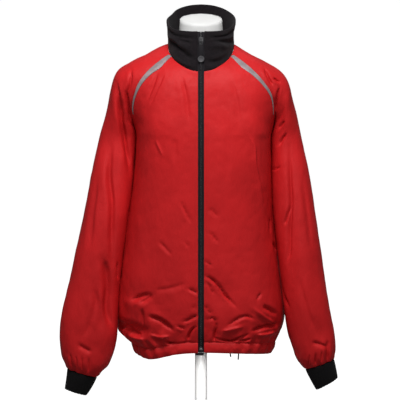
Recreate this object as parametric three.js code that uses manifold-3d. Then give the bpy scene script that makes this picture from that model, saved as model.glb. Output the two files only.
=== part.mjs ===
// A zipped raglan track jacket, worn by a limbless dress form on a pole and round base.
// Millimetres. X runs to the wearer's left, -Y is the front, +Z is up, and the floor is Z 0.
// Each cut piece is a thin wall over sections read from the tables below.
import * as THREE from "three";
import { mergeVertices } from "three/addons/utils/BufferGeometryUtils.js";
import Module from "manifold-3d";

// Wall thicknesses and gaps
const CLOTH_WALL = 1.6;
const COLLAR_WALL = 2.4;
const CUFF_WALL = 2;
const CASING_WALL = 2.6;
const TRIM_WALL = 1;
const SEAM_GAP = 0.3;
const TRIM_LIFT = 0.8; // how far trim stands off the cloth that it is sewn to

// Heights and places that several pieces share
const ARMPIT_Z = 640;
const NECK_FRONT_Z = 799;
const NECK_BACK_Z = 862;
const CASING_TOP = { front: 185, side: 168, back: 166 };
const CASING_HEIGHT = 24;
const ZIP_HALF = 7; // from the middle of the zip to each front edge
const ZIP_SHARE = 0.0397; // the share of a front's rows that the zip takes
// The drawn hem hangs lower over the wearer's right hip: how much, where and how widely
const HEM_DIP = { side: "right", depth: 12.5, at: 0.46, width: 0.24, fade: 0.22 };

// Mesh fineness
const ARM_ROWS = 11; // rows between the neckline and the armpit
const BODY_ROWS = 12; // rows between the gathers of the hem and the armpit
const FRONT_COLUMNS = 10;
const BACK_COLUMNS = 9; // on each half of the back
const SLEEVE_COLUMNS = 16;
const SLEEVE_ROWS = 14;
const COLLAR_COLUMNS = 44;
const COLLAR_ROWS = 4;
const CUFF_RIBS = 40;
const FOLD_STEPS = 16; // places tried along a fold

const SIDES = { right: -1, left: 1 };
const FACES = { front: -1, back: 1 };

// How far the middle of the front and of the back stand from the torso's axis, by height
const DEPTH = [
  { z: 130, front: 119, back: 106 },
  { z: 158, front: 120, back: 108 },
  { z: 181, front: 124, back: 114 },
  { z: 205, front: 132, back: 125 },
  { z: 240, front: 137, back: 130 },
  { z: 310, front: 138, back: 125 },
  { z: 384, front: 136, back: 117 },
  { z: 475, front: 133, back: 113 },
  { z: 565, front: 131, back: 116 },
  { z: 640, front: 128, back: 119 },
  { z: 700, front: 121, back: 117 },
  { z: 760, front: 109, back: 108 },
  { z: 799, front: 96, back: 95 },
  { z: 845, front: 90.75, back: 77 },
  { z: 862, front: 88.8, back: 70 },
  { z: 895, front: 85, back: 66 },
];

// How far each side seam stands from the torso's axis, by height, and how far back it lies
const SIDE_SEAM = [
  { z: 130, right: 141, left: 162, y: -4 },
  { z: 143, right: 143, left: 165, y: -4 },
  { z: 168, right: 159, left: 170, y: -2 },
  { z: 181, right: 177, left: 176, y: 0 },
  { z: 194, right: 189.5, left: 182.5, y: 3 },
  { z: 215, right: 194.5, left: 192, y: 7 },
  { z: 240, right: 195.5, left: 194.5, y: 10 },
  { z: 304, right: 193.5, left: 188.5, y: 15 },
  { z: 384, right: 183, left: 180, y: 17 },
  { z: 475, right: 167.5, left: 168, y: 14 },
  { z: 565, right: 154, left: 163, y: 6 },
  { z: 640, right: 148, left: 160, y: -4 },
];

// How full the torso's rows are at a seam, and the degrees that the back billows out beyond it
const TORSO_SIDE = [
  { z: 130, reach: 0.4, billow: 0 },
  { z: 240, reach: 0.4, billow: 4 },
  { z: 320, reach: 0.4, billow: 10 },
  { z: 420, reach: 0.4, billow: 16 },
  { z: 500, reach: 0.45, billow: 20 },
  { z: 575, reach: 0.52, billow: 20 },
  { z: 640, reach: 0.56, billow: 9 },
  { z: 700, reach: 0.5, billow: 0 },
  { z: 760, reach: 0.42, billow: 0 },
  { z: 870, reach: 0.4, billow: 0 },
];
const TORSO_MIDDLE = { across: 0.77, rise: 0.2 }; // how far a row stays straight at its middle
const TORSO_SEAM_RISE = 0.35;
const ARC_REACH = 0.75; // a cubic curve bows out by this share of its handles

// The front raglan seam from the neckline (0) to the armpit (1)
const RAGLAN_FRONT = [
  { t: 0, z: 833, right: 69, left: 69, y: -47.9 },
  { t: 0.13, z: 818, right: 93, left: 92, y: -66 },
  { t: 0.27, z: 796, right: 119, left: 120, y: -77 },
  { t: 0.4, z: 772, right: 139, left: 143, y: -80 },
  { t: 0.5, z: 750, right: 151, left: 158, y: -76 },
  { t: 0.59, z: 731, right: 157.5, left: 165, y: -69 },
  { t: 0.68, z: 710, right: 159.5, left: 168.5, y: -59 },
  { t: 0.76, z: 692, right: 158, left: 169, y: -47 },
  { t: 0.88, z: 664, right: 152, left: 165, y: -25 },
  { t: 1, z: 640, right: 148, left: 160, y: -4 },
];

// The back raglan seam, read the same way
const RAGLAN_BACK = [
  { t: 0, z: 859.6, right: 48, left: 48, y: 51.4 },
  { t: 0.13, z: 842, right: 73, left: 71, y: 70 },
  { t: 0.27, z: 816, right: 103, left: 102, y: 83 },
  { t: 0.4, z: 788, right: 127, left: 128, y: 88 },
  { t: 0.5, z: 764, right: 142, left: 147, y: 86 },
  { t: 0.59, z: 743, right: 151, left: 158, y: 76 },
  { t: 0.68, z: 720, right: 156, left: 165, y: 62 },
  { t: 0.76, z: 699, right: 157, left: 167, y: 47 },
  { t: 0.88, z: 668, right: 153, left: 165, y: 21 },
  { t: 1, z: 640, right: 148, left: 160, y: -4 },
];

// The ridge of the shoulder and the outside of the arm, down to the height of the armpit
const SHOULDER = [
  { t: 0, z: 853, right: 76, left: 76, y: -13 },
  { t: 0.12, z: 842.5, right: 103, left: 94, y: -11 },
  { t: 0.22, z: 833, right: 124, left: 110, y: -10 },
  { t: 0.32, z: 824.5, right: 145, left: 128, y: -9 },
  { t: 0.41, z: 816, right: 161, left: 145, y: -8 },
  { t: 0.5, z: 806.5, right: 177, left: 161, y: -7 },
  { t: 0.58, z: 796, right: 191, left: 178, y: -6 },
  { t: 0.68, z: 773, right: 202, left: 198, y: -5 },
  { t: 0.78, z: 741, right: 209, left: 206, y: -4 },
  { t: 0.9, z: 697, right: 219, left: 219, y: -4 },
  { t: 1, z: 650, right: 231, left: 229, y: -4 },
];

// How the cloth leaves a raglan seam: degrees from square across, and how far the sleeve reaches
const RAGLAN_TURN = [
  { t: 0, torso: 42, sleeve: -48, reach: 14, over: 14 },
  { t: 0.2, torso: 30, sleeve: -30, reach: 30, over: 34 },
  { t: 0.4, torso: 26, sleeve: -18, reach: 38, over: 44 },
  { t: 0.6, torso: 36, sleeve: 4, reach: 42, over: 50 },
  { t: 0.76, torso: 58, sleeve: 38, reach: 48, over: 56 },
  { t: 0.88, torso: 78, sleeve: 68, reach: 56, over: 60 },
  { t: 1, torso: 90, sleeve: 90, reach: 62, over: 62 },
];

const SLEEVE_HEAD = { clear: 0.4, climb: 0.45, crown: 0.04 };
const NECK_BLEND = { torso: 0.35, sleeve: 0.3 }; // the share of a panel that eases to the neckline

// Hanging sleeves: both edges, how much higher the outer one is, and how far the cloth bows out
const ARM = {
  right: [
    { z: 645, out: 231, in: 148.5, lean: 10, y: -4, front: 46, back: 43 },
    { z: 565, out: 249, in: 154.2, lean: 8, y: -18, front: 48, back: 42 },
    { z: 475, out: 267, in: 165.5, lean: 8, y: -32, front: 48, back: 41 },
    { z: 384, out: 287, in: 179, lean: 10, y: -38, front: 48, back: 41 },
    { z: 304, out: 303, in: 188, lean: 12, y: -41, front: 47, back: 41 },
    { z: 233, out: 319, in: 190.5, lean: 15, y: -43, front: 46, back: 40 },
    { z: 187, out: 324, in: 194.5, lean: 17, y: -44, front: 45, back: 40 },
    { z: 150, out: 323, in: 204.5, lean: 20, y: -45, front: 42, back: 38 },
    { z: 124, out: 318, in: 219, lean: 21, y: -45, front: 38, back: 35 },
    { z: 104, out: 308.5, in: 238, lean: 21, y: -45, front: 29, back: 28 },
    { z: 84, out: 310, in: 248, lean: 19, y: -45, front: 27, back: 26 },
    { z: 57.5, out: 315, in: 263, lean: 15, y: -46, front: 23, back: 22 },
  ],
  left: [
    { z: 645, out: 229, in: 160.5, lean: 10, y: -4, front: 46, back: 43 },
    { z: 566, out: 246, in: 162.8, lean: 8, y: -18, front: 48, back: 42 },
    { z: 478, out: 260, in: 166, lean: 8, y: -32, front: 48, back: 41 },
    { z: 390, out: 274, in: 175, lean: 10, y: -38, front: 48, back: 41 },
    { z: 312, out: 285.5, in: 183.5, lean: 12, y: -41, front: 47, back: 41 },
    { z: 243, out: 296, in: 191.5, lean: 15, y: -43, front: 46, back: 40 },
    { z: 200, out: 304, in: 199.5, lean: 18, y: -44, front: 44, back: 39 },
    { z: 167, out: 308, in: 211, lean: 21, y: -45, front: 41, back: 37 },
    { z: 143, out: 308, in: 222, lean: 23, y: -45, front: 37, back: 34 },
    { z: 124, out: 306, in: 238.5, lean: 24, y: -45, front: 29, back: 28 },
    { z: 104, out: 310, in: 249, lean: 25, y: -45, front: 27, back: 26 },
    { z: 76.5, out: 315, in: 264.5, lean: 27, y: -46, front: 23, back: 22 },
  ],
};
const CUFF_SEAM_Z = { right: 104, left: 124 };
const CUFF_END_Z = { right: 57.5, left: 76.5 };

// The collar by angle round the neck, 0 at the zip and 180 at the back
const COLLAR = [
  { angle: 0, seam: 799, rim: 891 },
  { angle: 20, seam: 803.5, rim: 890.5 },
  { angle: 45, seam: 818.5, rim: 893 },
  { angle: 65, seam: 833, rim: 900 },
  { angle: 90, seam: 853, rim: 913 },
  { angle: 120, seam: 858, rim: 927 },
  { angle: 141, seam: 859.6, rim: 936.5 },
  { angle: 162, seam: 861.3, rim: 942.8 },
  { angle: 180, seam: 862, rim: 944.5 },
];
const NECK = { width: 76, depth: 83, y: -13 };
const RIM = { width: 80.5, depth: 74, y: -11.5 };
const COLLAR_WAIST = { right: 1.6, left: 1.8, from: 12, to: 60 }; // pulls in halfway up
const RIM_PINCH = { side: "right", angle: 114, depth: 6, width: 16 }; // behind the rim's corner
const FRONT_JOIN = 65; // angle at which the front raglan seams meet the collar
const BACK_JOIN = 141;

// The largest folds, as seen from the front or the back. A minus depth is a trough.
const FOLDS = [
  { on: "sleeve", from: [-192, 756], via: [-178, 668], to: [-162, 560], depth: -6, width: 12 },
  { on: "sleeve", from: [-208, 625], via: [-205, 540], to: [-206, 350], depth: -4.5, width: 15 },
  { on: "sleeve", from: [-226, 370], via: [-213, 300], to: [-202, 205], depth: -6, width: 13 },
  { on: "sleeve", from: [-255, 215], via: [-268, 200], to: [-284, 182], depth: -5, width: 14 },
  { on: "sleeve", from: [178, 745], via: [170, 700], to: [186, 655], depth: -4, width: 12 },
  { on: "sleeve", from: [204, 632], via: [209, 540], to: [201, 362], depth: -4.5, width: 15 },
  { on: "sleeve", from: [232, 430], via: [236, 330], to: [230, 240], depth: 4, width: 16 },
  { on: "sleeve", from: [258, 196], via: [274, 198], to: [290, 180], depth: -5, width: 13 },
  { on: "front", from: [-98, 795], via: [-112, 765], to: [-124, 722], depth: -2.5, width: 12 },
  { on: "front", from: [110, 660], via: [126, 590], to: [152, 465], depth: 3.5, width: 14 },
  { on: "front", from: [12, 338], via: [52, 298], to: [86, 256], depth: -4.5, width: 11 },
  { on: "front", from: [-110, 205], via: [-90, 218], to: [-62, 205], depth: -4, width: 11 },
  { on: "front", from: [-168, 268], via: [-140, 284], to: [-112, 288], depth: -3.5, width: 12 },
  { on: "front", from: [-172, 224], via: [-152, 214], to: [-136, 206], depth: -4, width: 11 },
  { on: "front", from: [112, 208], via: [150, 220], to: [182, 226], depth: -4.5, width: 10 },
  { on: "front", from: [118, 242], via: [146, 236], to: [170, 224], depth: 4, width: 10 },
  { on: "front", from: [12, 232], via: [30, 224], to: [32, 196], depth: -4, width: 9 },
  { on: "back", from: [-120, 700], via: [-92, 640], to: [-84, 560], depth: -4, width: 15 },
  { on: "back", from: [124, 705], via: [98, 640], to: [92, 548], depth: -4, width: 15 },
  { on: "back", from: [-30, 470], via: [-38, 380], to: [-24, 290], depth: 3.5, width: 18 },
  { on: "back", from: [60, 440], via: [66, 350], to: [48, 270], depth: -3.5, width: 16 },
  { on: "back", from: [-130, 330], via: [-96, 290], to: [-60, 262], depth: -4, width: 14 },
  { on: "back", from: [148, 300], via: [110, 262], to: [70, 250], depth: -4, width: 13 },
];

const FOLD_FADE = { from: -0.12, to: 0.3 }; // how a fold dies away at its ends
const SLEEVE_FOLDS = { from: 0.45, to: 0.7, cuffFrom: 10, cuffTo: 60 };

// Small waves where cloth is drawn in: how many, how deep, and how far they reach
const GATHERS = {
  front: { count: 8, depth: 2.6, reach: 62, phase: 0.6 },
  back: { count: 8, depth: 3, reach: 70, phase: 2.1 },
  cuff: { count: 10, depth: 2.4, reach: 34, phase: 0.9 },
};
const GATHER_UNEVEN = { level: 0.72, swing: 0.28, beat: 2.3 };
const GATHER_STILL = { from: 0.08, to: 0.28 }; // the share of a front that lies flat by the zip
const HEM_REST = 0.06; // the share of a panel over which the folds die away at the hem
const GATHER_STEPS = [0, 9, 22, 40]; // heights above a drawn edge at which rows are placed
const WAVE_COLUMNS = 4; // columns to one wave
const SLEEVE_BACK_WAVE = { depth: 4, length: 60, turn: 9 };

// Rows of the folded hem casing: how far down and out, and what is left of gathers and width
const CASING_ROWS = [
  { down: 1, puff: 0, gather: 0.55, width: 0.955 },
  { down: 0.5, puff: 2, gather: 0.775, width: 0.9775 },
  { down: 0, puff: 0, gather: 1, width: 1 },
];
const CASING_STRAIGHT = 0.2; // the share of a front beside the zip that keeps its full width

// Ribs of a cuff: how far each stands out, how deep the groove beside it is, and the wall
const RIB = { stands: 0.35, groove: -0.45, inner: -0.4, middle: 0.55 };

// Trim: tapered piping on the front raglan seams and closed pocket zips
const PIPING = [
  { t: 0, width: 8 },
  { t: 0.13, width: 13 },
  { t: 0.27, width: 10 },
  { t: 0.4, width: 8 },
  { t: 0.5, width: 5.5 },
  { t: 0.64, width: 3.4 },
  { t: 0.73, width: 2.4 },
];
const PIPING_TOP = { near: 4, back: 0.18 }; // the strip starts clear of the collar
const POCKET_ZIP = { low: 218, high: 372, inset: 15, width: 9, rows: 9, girth: 190, squared: 1.4 };

// Front zip, slider and pull
const TAPE = { inner: 0.6, outer: 15, chain: 2.9, flank: 3.8, rise: 1.9, recess: 3, bow: 1.7 };
const ZIP_STRETCHES = [
  { from: 161, to: 285, step: 12.5 },
  { from: 285, to: 775, step: 41 },
  { from: 775, to: 830, step: 9 },
  { from: 830, to: 889, step: 30 },
];
// The box under the chain reaches further to the wearer's right, where the pin goes in
const RETAINER = { x: -3.3, width: 19.5, height: 6.4, depth: 3.4, corner: 1.2, drop: 0.9 };
const RETAINER_FORWARD = 0.4;
const SLIDER = { z: 870.5, width: 10.5, height: 13, depth: 2.4, gap: 0.3, corner: 2.4 };
const BRIDGE = { wide: 2.4, tall: 9, stands: 4.4, sunk: 1, bar: 1.5 };
const PULL = { eye: 9, eyeTall: 9.6, bar: 1.6, strip: 9, length: 25, thick: 1.8, lean: 2.5 };
const BUTTON = { diameter: 15, thick: 2.4 };

// Two free ends of the drawcord, and how the casing puffs and gathers where they leave it
const CORD = { diameter: 3, sides: 8, exitZ: 174, bend: 6.6, sway: 6 };
const CORD_EXIT = { puff: 1.7, gather: 0.8, run: 2 };
const CORD_ENDS = [
  { x: 66, tip: 149, turn: 0.3, clear: 1.3 },
  { x: 86, tip: 142, turn: -0.2, clear: 1.9 },
];

// Dress form and stand
const FORM = [
  { z: 200, width: 130, front: 88, back: 84 },
  { z: 300, width: 146, front: 100, back: 94 },
  { z: 420, width: 134, front: 98, back: 88 },
  { z: 520, width: 134, front: 106, back: 94 },
  { z: 620, width: 134, front: 112, back: 101 },
  { z: 662, width: 138, front: 110, back: 103 },
  { z: 700, width: 160, front: 104, back: 103 },
  { z: 740, width: 178, front: 94, back: 98 },
  { z: 772, width: 186, front: 84, back: 92 },
];
const FORM_SHOULDER = [
  { z: 796, front: 70, back: 82 },
  { z: 808, front: 62, back: 76 },
  { z: 818, front: 55, back: 70 },
  { z: 827, front: 47, back: 62 },
  { z: 836, front: 38, back: 52 },
];
const FORM_NECK = [
  { z: 848, width: 65, front: 38, back: 46 },
  { z: 862, width: 56, front: 38, back: 42 },
  { z: 880, width: 51, front: 39, back: 40 },
  { z: 914, width: 48.5, front: 38, back: 38 },
];
const FORM_Y = -5;
const FORM_CAP_TILT = 16; // degrees that the cut neck leans forward
const FORM_CLEARANCE = 0.75;
const FORM_SIDES = 24;
const POLE = { radius: 14, sides: 20 };
const BASE = { radius: 125, height: 8, edge: 3, foot: 1, sides: 36 };

const FINISH = {
  shell: { color: 0xb02024, roughness: 0.5 },
  knit: { color: 0x17151a, roughness: 0.95 },
  tape: { color: 0x101014, roughness: 0.85 },
  reflective: { color: 0xa8a4a2, roughness: 0.4 },
  metal: { color: 0x1b1b1e, roughness: 0.4, metalness: 0.6 },
  rubber: { color: 0x1c1c1f, roughness: 0.7 },
  button: { color: 0x8d8d90, roughness: 0.5 },
  cord: { color: 0x111113, roughness: 0.9 },
  form: { color: 0xf2f2f0, roughness: 0.25 },
  stand: { color: 0xe8e8e6, roughness: 0.35 },
};

const { lerp, degToRad, smoothstep } = THREE.MathUtils;

/** Reads one column of a table at any value of its key column, on a smooth curve. */
function reader(rows, key, column) {
  const x = rows.map((row) => row[key]);
  const y = rows.map((row) => row[column]);
  const slope = y.map((_, i) => {
    const before = Math.max(i - 1, 0);
    const after = Math.min(i + 1, y.length - 1);
    return (y[after] - y[before]) / (x[after] - x[before]);
  });
  return (value) => {
    let i = 0;
    while (i < x.length - 2 && (x[i + 1] - value) * Math.sign(x[1] - x[0]) < 0) i += 1;
    const span = x[i + 1] - x[i];
    const s = THREE.MathUtils.clamp((value - x[i]) / span, 0, 1);
    const bend = s * s * (3 - 2 * s);
    const lead = slope[i] * s * (1 - s) * (1 - s) * span;
    const tail = slope[i + 1] * s * s * (1 - s) * span;
    return lerp(y[i], y[i + 1], bend) + lead - tail;
  };
}

const depthAt = { front: reader(DEPTH, "z", "front"), back: reader(DEPTH, "z", "back") };
const sideAt = { right: reader(SIDE_SEAM, "z", "right"), left: reader(SIDE_SEAM, "z", "left") };
const sideY = reader(SIDE_SEAM, "z", "y");
const seamZ = reader(COLLAR, "angle", "seam");
const rimZ = reader(COLLAR, "angle", "rim");
const turnAt = (column) => reader(RAGLAN_TURN, "t", column);
const torsoTurn = turnAt("torso");
const torsoReach = reader(TORSO_SIDE, "z", "reach");
const torsoBillow = reader(TORSO_SIDE, "z", "billow");
const sleeveTurn = turnAt("sleeve");
const sleeveReach = turnAt("reach");
const sleeveOver = turnAt("over");

/** A line in space from a table with columns t, z, y and one x for each side. */
function lineOf(rows, side) {
  const x = reader(rows, "t", side);
  const y = reader(rows, "t", "y");
  const z = reader(rows, "t", "z");
  return (t) => new THREE.Vector3(SIDES[side] * x(t), y(t), z(t));
}

const raglan = {
  front: { right: lineOf(RAGLAN_FRONT, "right"), left: lineOf(RAGLAN_FRONT, "left") },
  back: { right: lineOf(RAGLAN_BACK, "right"), left: lineOf(RAGLAN_BACK, "left") },
};
const shoulder = { right: lineOf(SHOULDER, "right"), left: lineOf(SHOULDER, "left") };

/** A place on the neckline at an angle from the zip. */
function neckPoint(side, angle) {
  const a = degToRad(angle);
  const x = SIDES[side] * NECK.width * Math.sin(a);
  return new THREE.Vector3(x, NECK.y - NECK.depth * Math.cos(a), seamZ(angle));
}

/** A point of a cubic curve given by its two ends and two handles. */
function cubic(a, b, c, d, s) {
  return new THREE.CubicBezierCurve3(a, b, c, d).getPoint(s);
}

/** How far the folds and gathers push the cloth out at a place. */
function foldPush(on, p) {
  let push = 0;
  for (const fold of FOLDS) {
    if (fold.on !== on) continue;
    const path = new THREE.QuadraticBezierCurve(
      new THREE.Vector2(...fold.from),
      new THREE.Vector2(
        2 * fold.via[0] - (fold.from[0] + fold.to[0]) / 2,
        2 * fold.via[1] - (fold.from[1] + fold.to[1]) / 2,
      ),
      new THREE.Vector2(...fold.to),
    );
    let nearest = Infinity;
    let fade = 1;
    for (let i = 0; i <= FOLD_STEPS; i += 1) {
      const q = path.getPoint(i / FOLD_STEPS);
      const distance = Math.hypot(q.x - p.x, q.y - p.z);
      if (distance < nearest) {
        nearest = distance;
        const inward = Math.min(i, FOLD_STEPS - i) / FOLD_STEPS;
        fade = smoothstep(inward, FOLD_FADE.from, FOLD_FADE.to);
      }
    }
    push += fold.depth * fade * Math.exp(-((nearest / fold.width) ** 2));
  }
  return push;
}

/** Waves of uneven size at a drawn edge: share runs 0 to 1 along it, height is above it. */
function gatherPush(kind, share, height) {
  const { count, depth, reach, phase } = GATHERS[kind];
  const still = kind === "front" ? smoothstep(share, GATHER_STILL.from, GATHER_STILL.to) : 1;
  const wave = Math.cos(2 * Math.PI * count * share + phase);
  const beat = Math.cos(2 * Math.PI * share * GATHER_UNEVEN.beat + phase * 2);
  const uneven = GATHER_UNEVEN.level + GATHER_UNEVEN.swing * beat;
  return depth * uneven * wave * still * (1 - smoothstep(height, 0, reach));
}

/** One cubic row of the torso, from the middle of a face to its side or raglan seam. */
function torsoRow(face, side, share) {
  const sign = SIDES[side];
  const outward = FACES[face];
  const below = Math.min(share, 1);
  const t = 2 - Math.max(share, 1);
  const topZ = face === "front" ? NECK_FRONT_Z : NECK_BACK_Z;
  const split = (ARMPIT_Z - CASING_TOP.side) / (topZ - CASING_TOP.side);
  const rise = share < 1 ? share * split : split + (share - 1) * (1 - split);
  const centreZ = lerp(CASING_TOP[face], topZ, rise);
  const centre = new THREE.Vector3(0, outward * depthAt[face](centreZ), centreZ);
  const edgeZ = lerp(CASING_TOP.side, ARMPIT_Z, below);
  const edge =
    share < 1
      ? new THREE.Vector3(sign * sideAt[side](edgeZ), sideY(edgeZ), edgeZ)
      : raglan[face][side](t);
  const billow = face === "back" ? torsoBillow(edge.z) : 0;
  const turn = degToRad((share < 1 ? 90 : torsoTurn(t)) + billow);
  const span = edge.clone().sub(centre);
  const reach = torsoReach(edge.z) * Math.hypot(span.x, span.y);
  const first = centre.clone();
  first.x += TORSO_MIDDLE.across * span.x;
  first.z += TORSO_MIDDLE.rise * span.z;
  const last = edge.clone();
  last.x -= sign * reach * Math.cos(turn);
  last.y += outward * reach * Math.sin(turn);
  last.z -= TORSO_SEAM_RISE * span.z;
  const row = (s) => cubic(centre, first, last, edge, s);
  row.seam = 1 - (0.7 * SEAM_GAP) / (3 * reach);
  return row;
}

/** A place on the torso. share runs hem 0, armpit 1, neckline 2; s runs middle 0, seam 1. */
function torsoPoint(face, side, share, s) {
  const p = torsoRow(face, side, share)(s);
  const near = 1 - smoothstep(2 - share, 0, NECK_BLEND.torso);
  if (near > 0) {
    const angle = face === "front" ? s * FRONT_JOIN : 180 - s * (180 - BACK_JOIN);
    const off = neckPoint(side, angle).sub(torsoRow(face, side, 2)(s));
    p.addScaledVector(off, near);
  }
  if (face === "front" && side === HEM_DIP.side) {
    const bump = Math.exp(-(((s - HEM_DIP.at) / HEM_DIP.width) ** 2));
    p.z -= HEM_DIP.depth * bump * (1 - smoothstep(share, 0, HEM_DIP.fade));
  }
  return p;
}

/** A place on the sleeve above the armpit. t runs down from the neckline; s runs 0 to 2. */
function sleeveTop(side, t, s) {
  const sign = SIDES[side];
  const row = (at) => {
    const face = s < 1 ? "front" : "back";
    const outward = FACES[face];
    const seam = raglan[face][side](at);
    seam.x += sign * SLEEVE_HEAD.clear * smoothstep(at, 0.6, 1);
    const ridge = shoulder[side](at);
    const turn = degToRad(sleeveTurn(at));
    const climb = ridge.z - seam.z;
    const first = seam.clone();
    first.x += sign * sleeveReach(at) * Math.cos(turn);
    first.y += outward * sleeveReach(at) * Math.sin(turn);
    first.z += SLEEVE_HEAD.climb * climb;
    const last = ridge.clone();
    last.y += outward * sleeveOver(at);
    last.z -= SLEEVE_HEAD.crown * climb;
    return cubic(seam, first, last, ridge, s < 1 ? s : 2 - s);
  };
  const p = row(t);
  const near = 1 - smoothstep(t, 0, NECK_BLEND.sleeve);
  if (near > 0) {
    const angle = s < 1 ? lerp(FRONT_JOIN, 90, s) : lerp(90, BACK_JOIN, s - 1);
    p.addScaledVector(neckPoint(side, angle).sub(row(0)), near);
  }
  return p;
}

/** A place on a ring of the hanging sleeve or cuff; s runs from the inner edge right round. */
function armRing(side, z, s) {
  const at = (column) => reader(ARM[side], "z", column)(z);
  const sign = SIDES[side];
  const inner = new THREE.Vector3(sign * at("in"), at("y"), z - at("lean") / 2);
  const outer = new THREE.Vector3(sign * at("out"), at("y"), z + at("lean") / 2);
  const reach = (s < 1 ? -at("front") : at("back")) / ARC_REACH;
  const shift = new THREE.Vector3(0, reach, 0);
  const half = s < 1 ? s : 2 - s;
  return cubic(inner, inner.clone().add(shift), outer.clone().add(shift), outer, half);
}

/** Gathers points and triangles, then closes them into a wall. */
class Cloth {
  constructor() {
    this.points = [];
    this.pushes = [];
    this.triangles = [];
  }

  /** Adds a point that the folds push outwards, and gives its number. */
  point(p, push = 0) {
    this.points.push(p);
    this.pushes.push(push);
    return this.points.length - 1;
  }

  /** Fills the band between two rows of point numbers, which may differ in count. */
  fill(low, high) {
    let i = 0;
    let j = 0;
    while (i < low.length - 1 || j < high.length - 1) {
      const nextLow = (i + 1) / (low.length - 1);
      const nextHigh = (j + 1) / (high.length - 1);
      if (j === high.length - 1 || (i < low.length - 1 && nextLow <= nextHigh)) {
        this.triangles.push([low[i], low[i + 1], high[j]]);
        i += 1;
      } else {
        this.triangles.push([low[i], high[j + 1], high[j]]);
        j += 1;
      }
    }
  }

  /** Fills a whole stack of rows. */
  fillAll(rows) {
    for (let i = 1; i < rows.length; i += 1) this.fill(rows[i - 1], rows[i]);
  }

  normals(points) {
    const sums = points.map(() => new THREE.Vector3());
    for (const [a, b, c] of this.triangles) {
      const ab = points[b].clone().sub(points[a]);
      const ac = points[c].clone().sub(points[a]);
      const face = ab.cross(ac);
      for (const i of [a, b, c]) sums[i].add(face);
    }
    return sums.map((sum) => sum.normalize());
  }

  /** Turns every triangle to face away from a place inside the garment. */
  faceAwayFrom(inside) {
    let sum = 0;
    for (const [a, b, c] of this.triangles) {
      const ab = this.points[b].clone().sub(this.points[a]);
      const ac = this.points[c].clone().sub(this.points[a]);
      sum += ab.cross(ac).dot(this.points[a].clone().sub(inside));
    }
    if (sum < 0) this.triangles = this.triangles.map(([a, b, c]) => [a, c, b]);
    return this;
  }

  /** The outer points, with folds pushed level, so that a drawn edge keeps its height. */
  draped() {
    const normals = this.normals(this.points);
    return this.points.map((p, i) => {
      const level = new THREE.Vector3(normals[i].x, normals[i].y, 0).normalize();
      return p.clone().addScaledVector(level, this.pushes[i]);
    });
  }

  /** The closed wall: outer face, inner face and a strip along every free edge. */
  wall(thickness) {
    const outer = this.draped();
    const normals = this.normals(outer);
    const inner = outer.map((p, i) => p.clone().addScaledVector(normals[i], -thickness));
    const count = outer.length;
    const all = [...this.triangles];
    const edges = new Map();
    for (const [a, b, c] of this.triangles) {
      all.push([a + count, c + count, b + count]);
      for (const [from, to] of [[a, b], [b, c], [c, a]]) {
        if (!edges.delete(`${to}_${from}`)) edges.set(`${from}_${to}`, [from, to]);
      }
    }
    for (const [from, to] of edges.values()) {
      all.push([to, from, from + count]);
      all.push([to, from + count, to + count]);
    }
    return solid([...outer, ...inner], all);
  }
}

function solid(points, triangles) {
  const geometry = new THREE.BufferGeometry();
  const flat = points.flatMap((p) => [p.x, p.y, p.z]);
  geometry.setAttribute("position", new THREE.Float32BufferAttribute(flat, 3));
  geometry.setIndex(triangles.flat());
  geometry.computeVertexNormals();
  return geometry;
}

const jacket = new THREE.Group();

function add(name, geometry, finish, parent = jacket) {
  const mesh = new THREE.Mesh(geometry, new THREE.MeshStandardMaterial(finish));
  mesh.name = name;
  parent.add(mesh);
  return mesh;
}

const evenly = (count) => Array.from({ length: count + 1 }, (_, i) => i / count);

// Rows of the torso, hem 0, armpit 1, neckline 2, with their heights above the hem
const bodyHeight = ARMPIT_Z - CASING_TOP.side;
const torsoShares = [
  ...GATHER_STEPS.map((step) => step / bodyHeight),
  ...evenly(BODY_ROWS)
    .slice(1)
    .map((k) => lerp(GATHER_STEPS.at(-1) / bodyHeight, 1, k)),
  ...evenly(ARM_ROWS)
    .slice(1)
    .map((k) => 1 + k),
];

/** A torso panel. spans lists the halves that it covers, each from s = low to high. */
function torsoPanel(face, spans) {
  const cloth = new Cloth();
  const columns = face === "front" ? FRONT_COLUMNS : BACK_COLUMNS;
  const waves = GATHERS[face].count * WAVE_COLUMNS;
  const rows = torsoShares.map((share, k) => {
    const gathered = k < GATHER_STEPS.length - 1;
    const count = gathered ? waves : columns;
    const row = [];
    spans.forEach(({ side, low, high }, half) => {
      evenly(count).forEach((k01) => {
        if (half > 0 && k01 === 0) return;
        const seam = torsoRow(face, side, share).seam;
        const s = lerp(Math.min(low, seam), Math.min(high, seam), k01);
        const p = torsoPoint(face, side, share, s);
        const gather = share < 1 ? gatherPush(face, s, share * bodyHeight) : 0;
        const rest = smoothstep(share, 0, HEM_REST);
        row.push(cloth.point(p, gather + foldPush(face, p) * rest));
      });
    });
    return row;
  });
  cloth.fillAll(rows);
  return { cloth: cloth.faceAwayFrom(new THREE.Vector3(0, 0, 450)), rows };
}

const fronts = {};
for (const side of Object.keys(SIDES)) {
  fronts[side] = torsoPanel("front", [{ side, low: ZIP_SHARE, high: 1 }]);
}
const back = torsoPanel("back", [
  { side: "right", low: 1, high: 0 },
  { side: "left", low: 0, high: 1 },
]);

/** Slides the zip edge of a front panel to an even distance from the zip. */
function trueZipEdge({ cloth, rows }, side) {
  for (const row of rows) {
    const edge = cloth.points[row[0]];
    edge.x = SIDES[side] * ZIP_HALF;
  }
}
for (const side of Object.keys(SIDES)) {
  trueZipEdge(fronts[side], side);
  add(`front_${side}`, fronts[side].cloth.wall(CLOTH_WALL), FINISH.shell);
}
add("back", back.cloth.wall(CLOTH_WALL), FINISH.shell);

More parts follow.
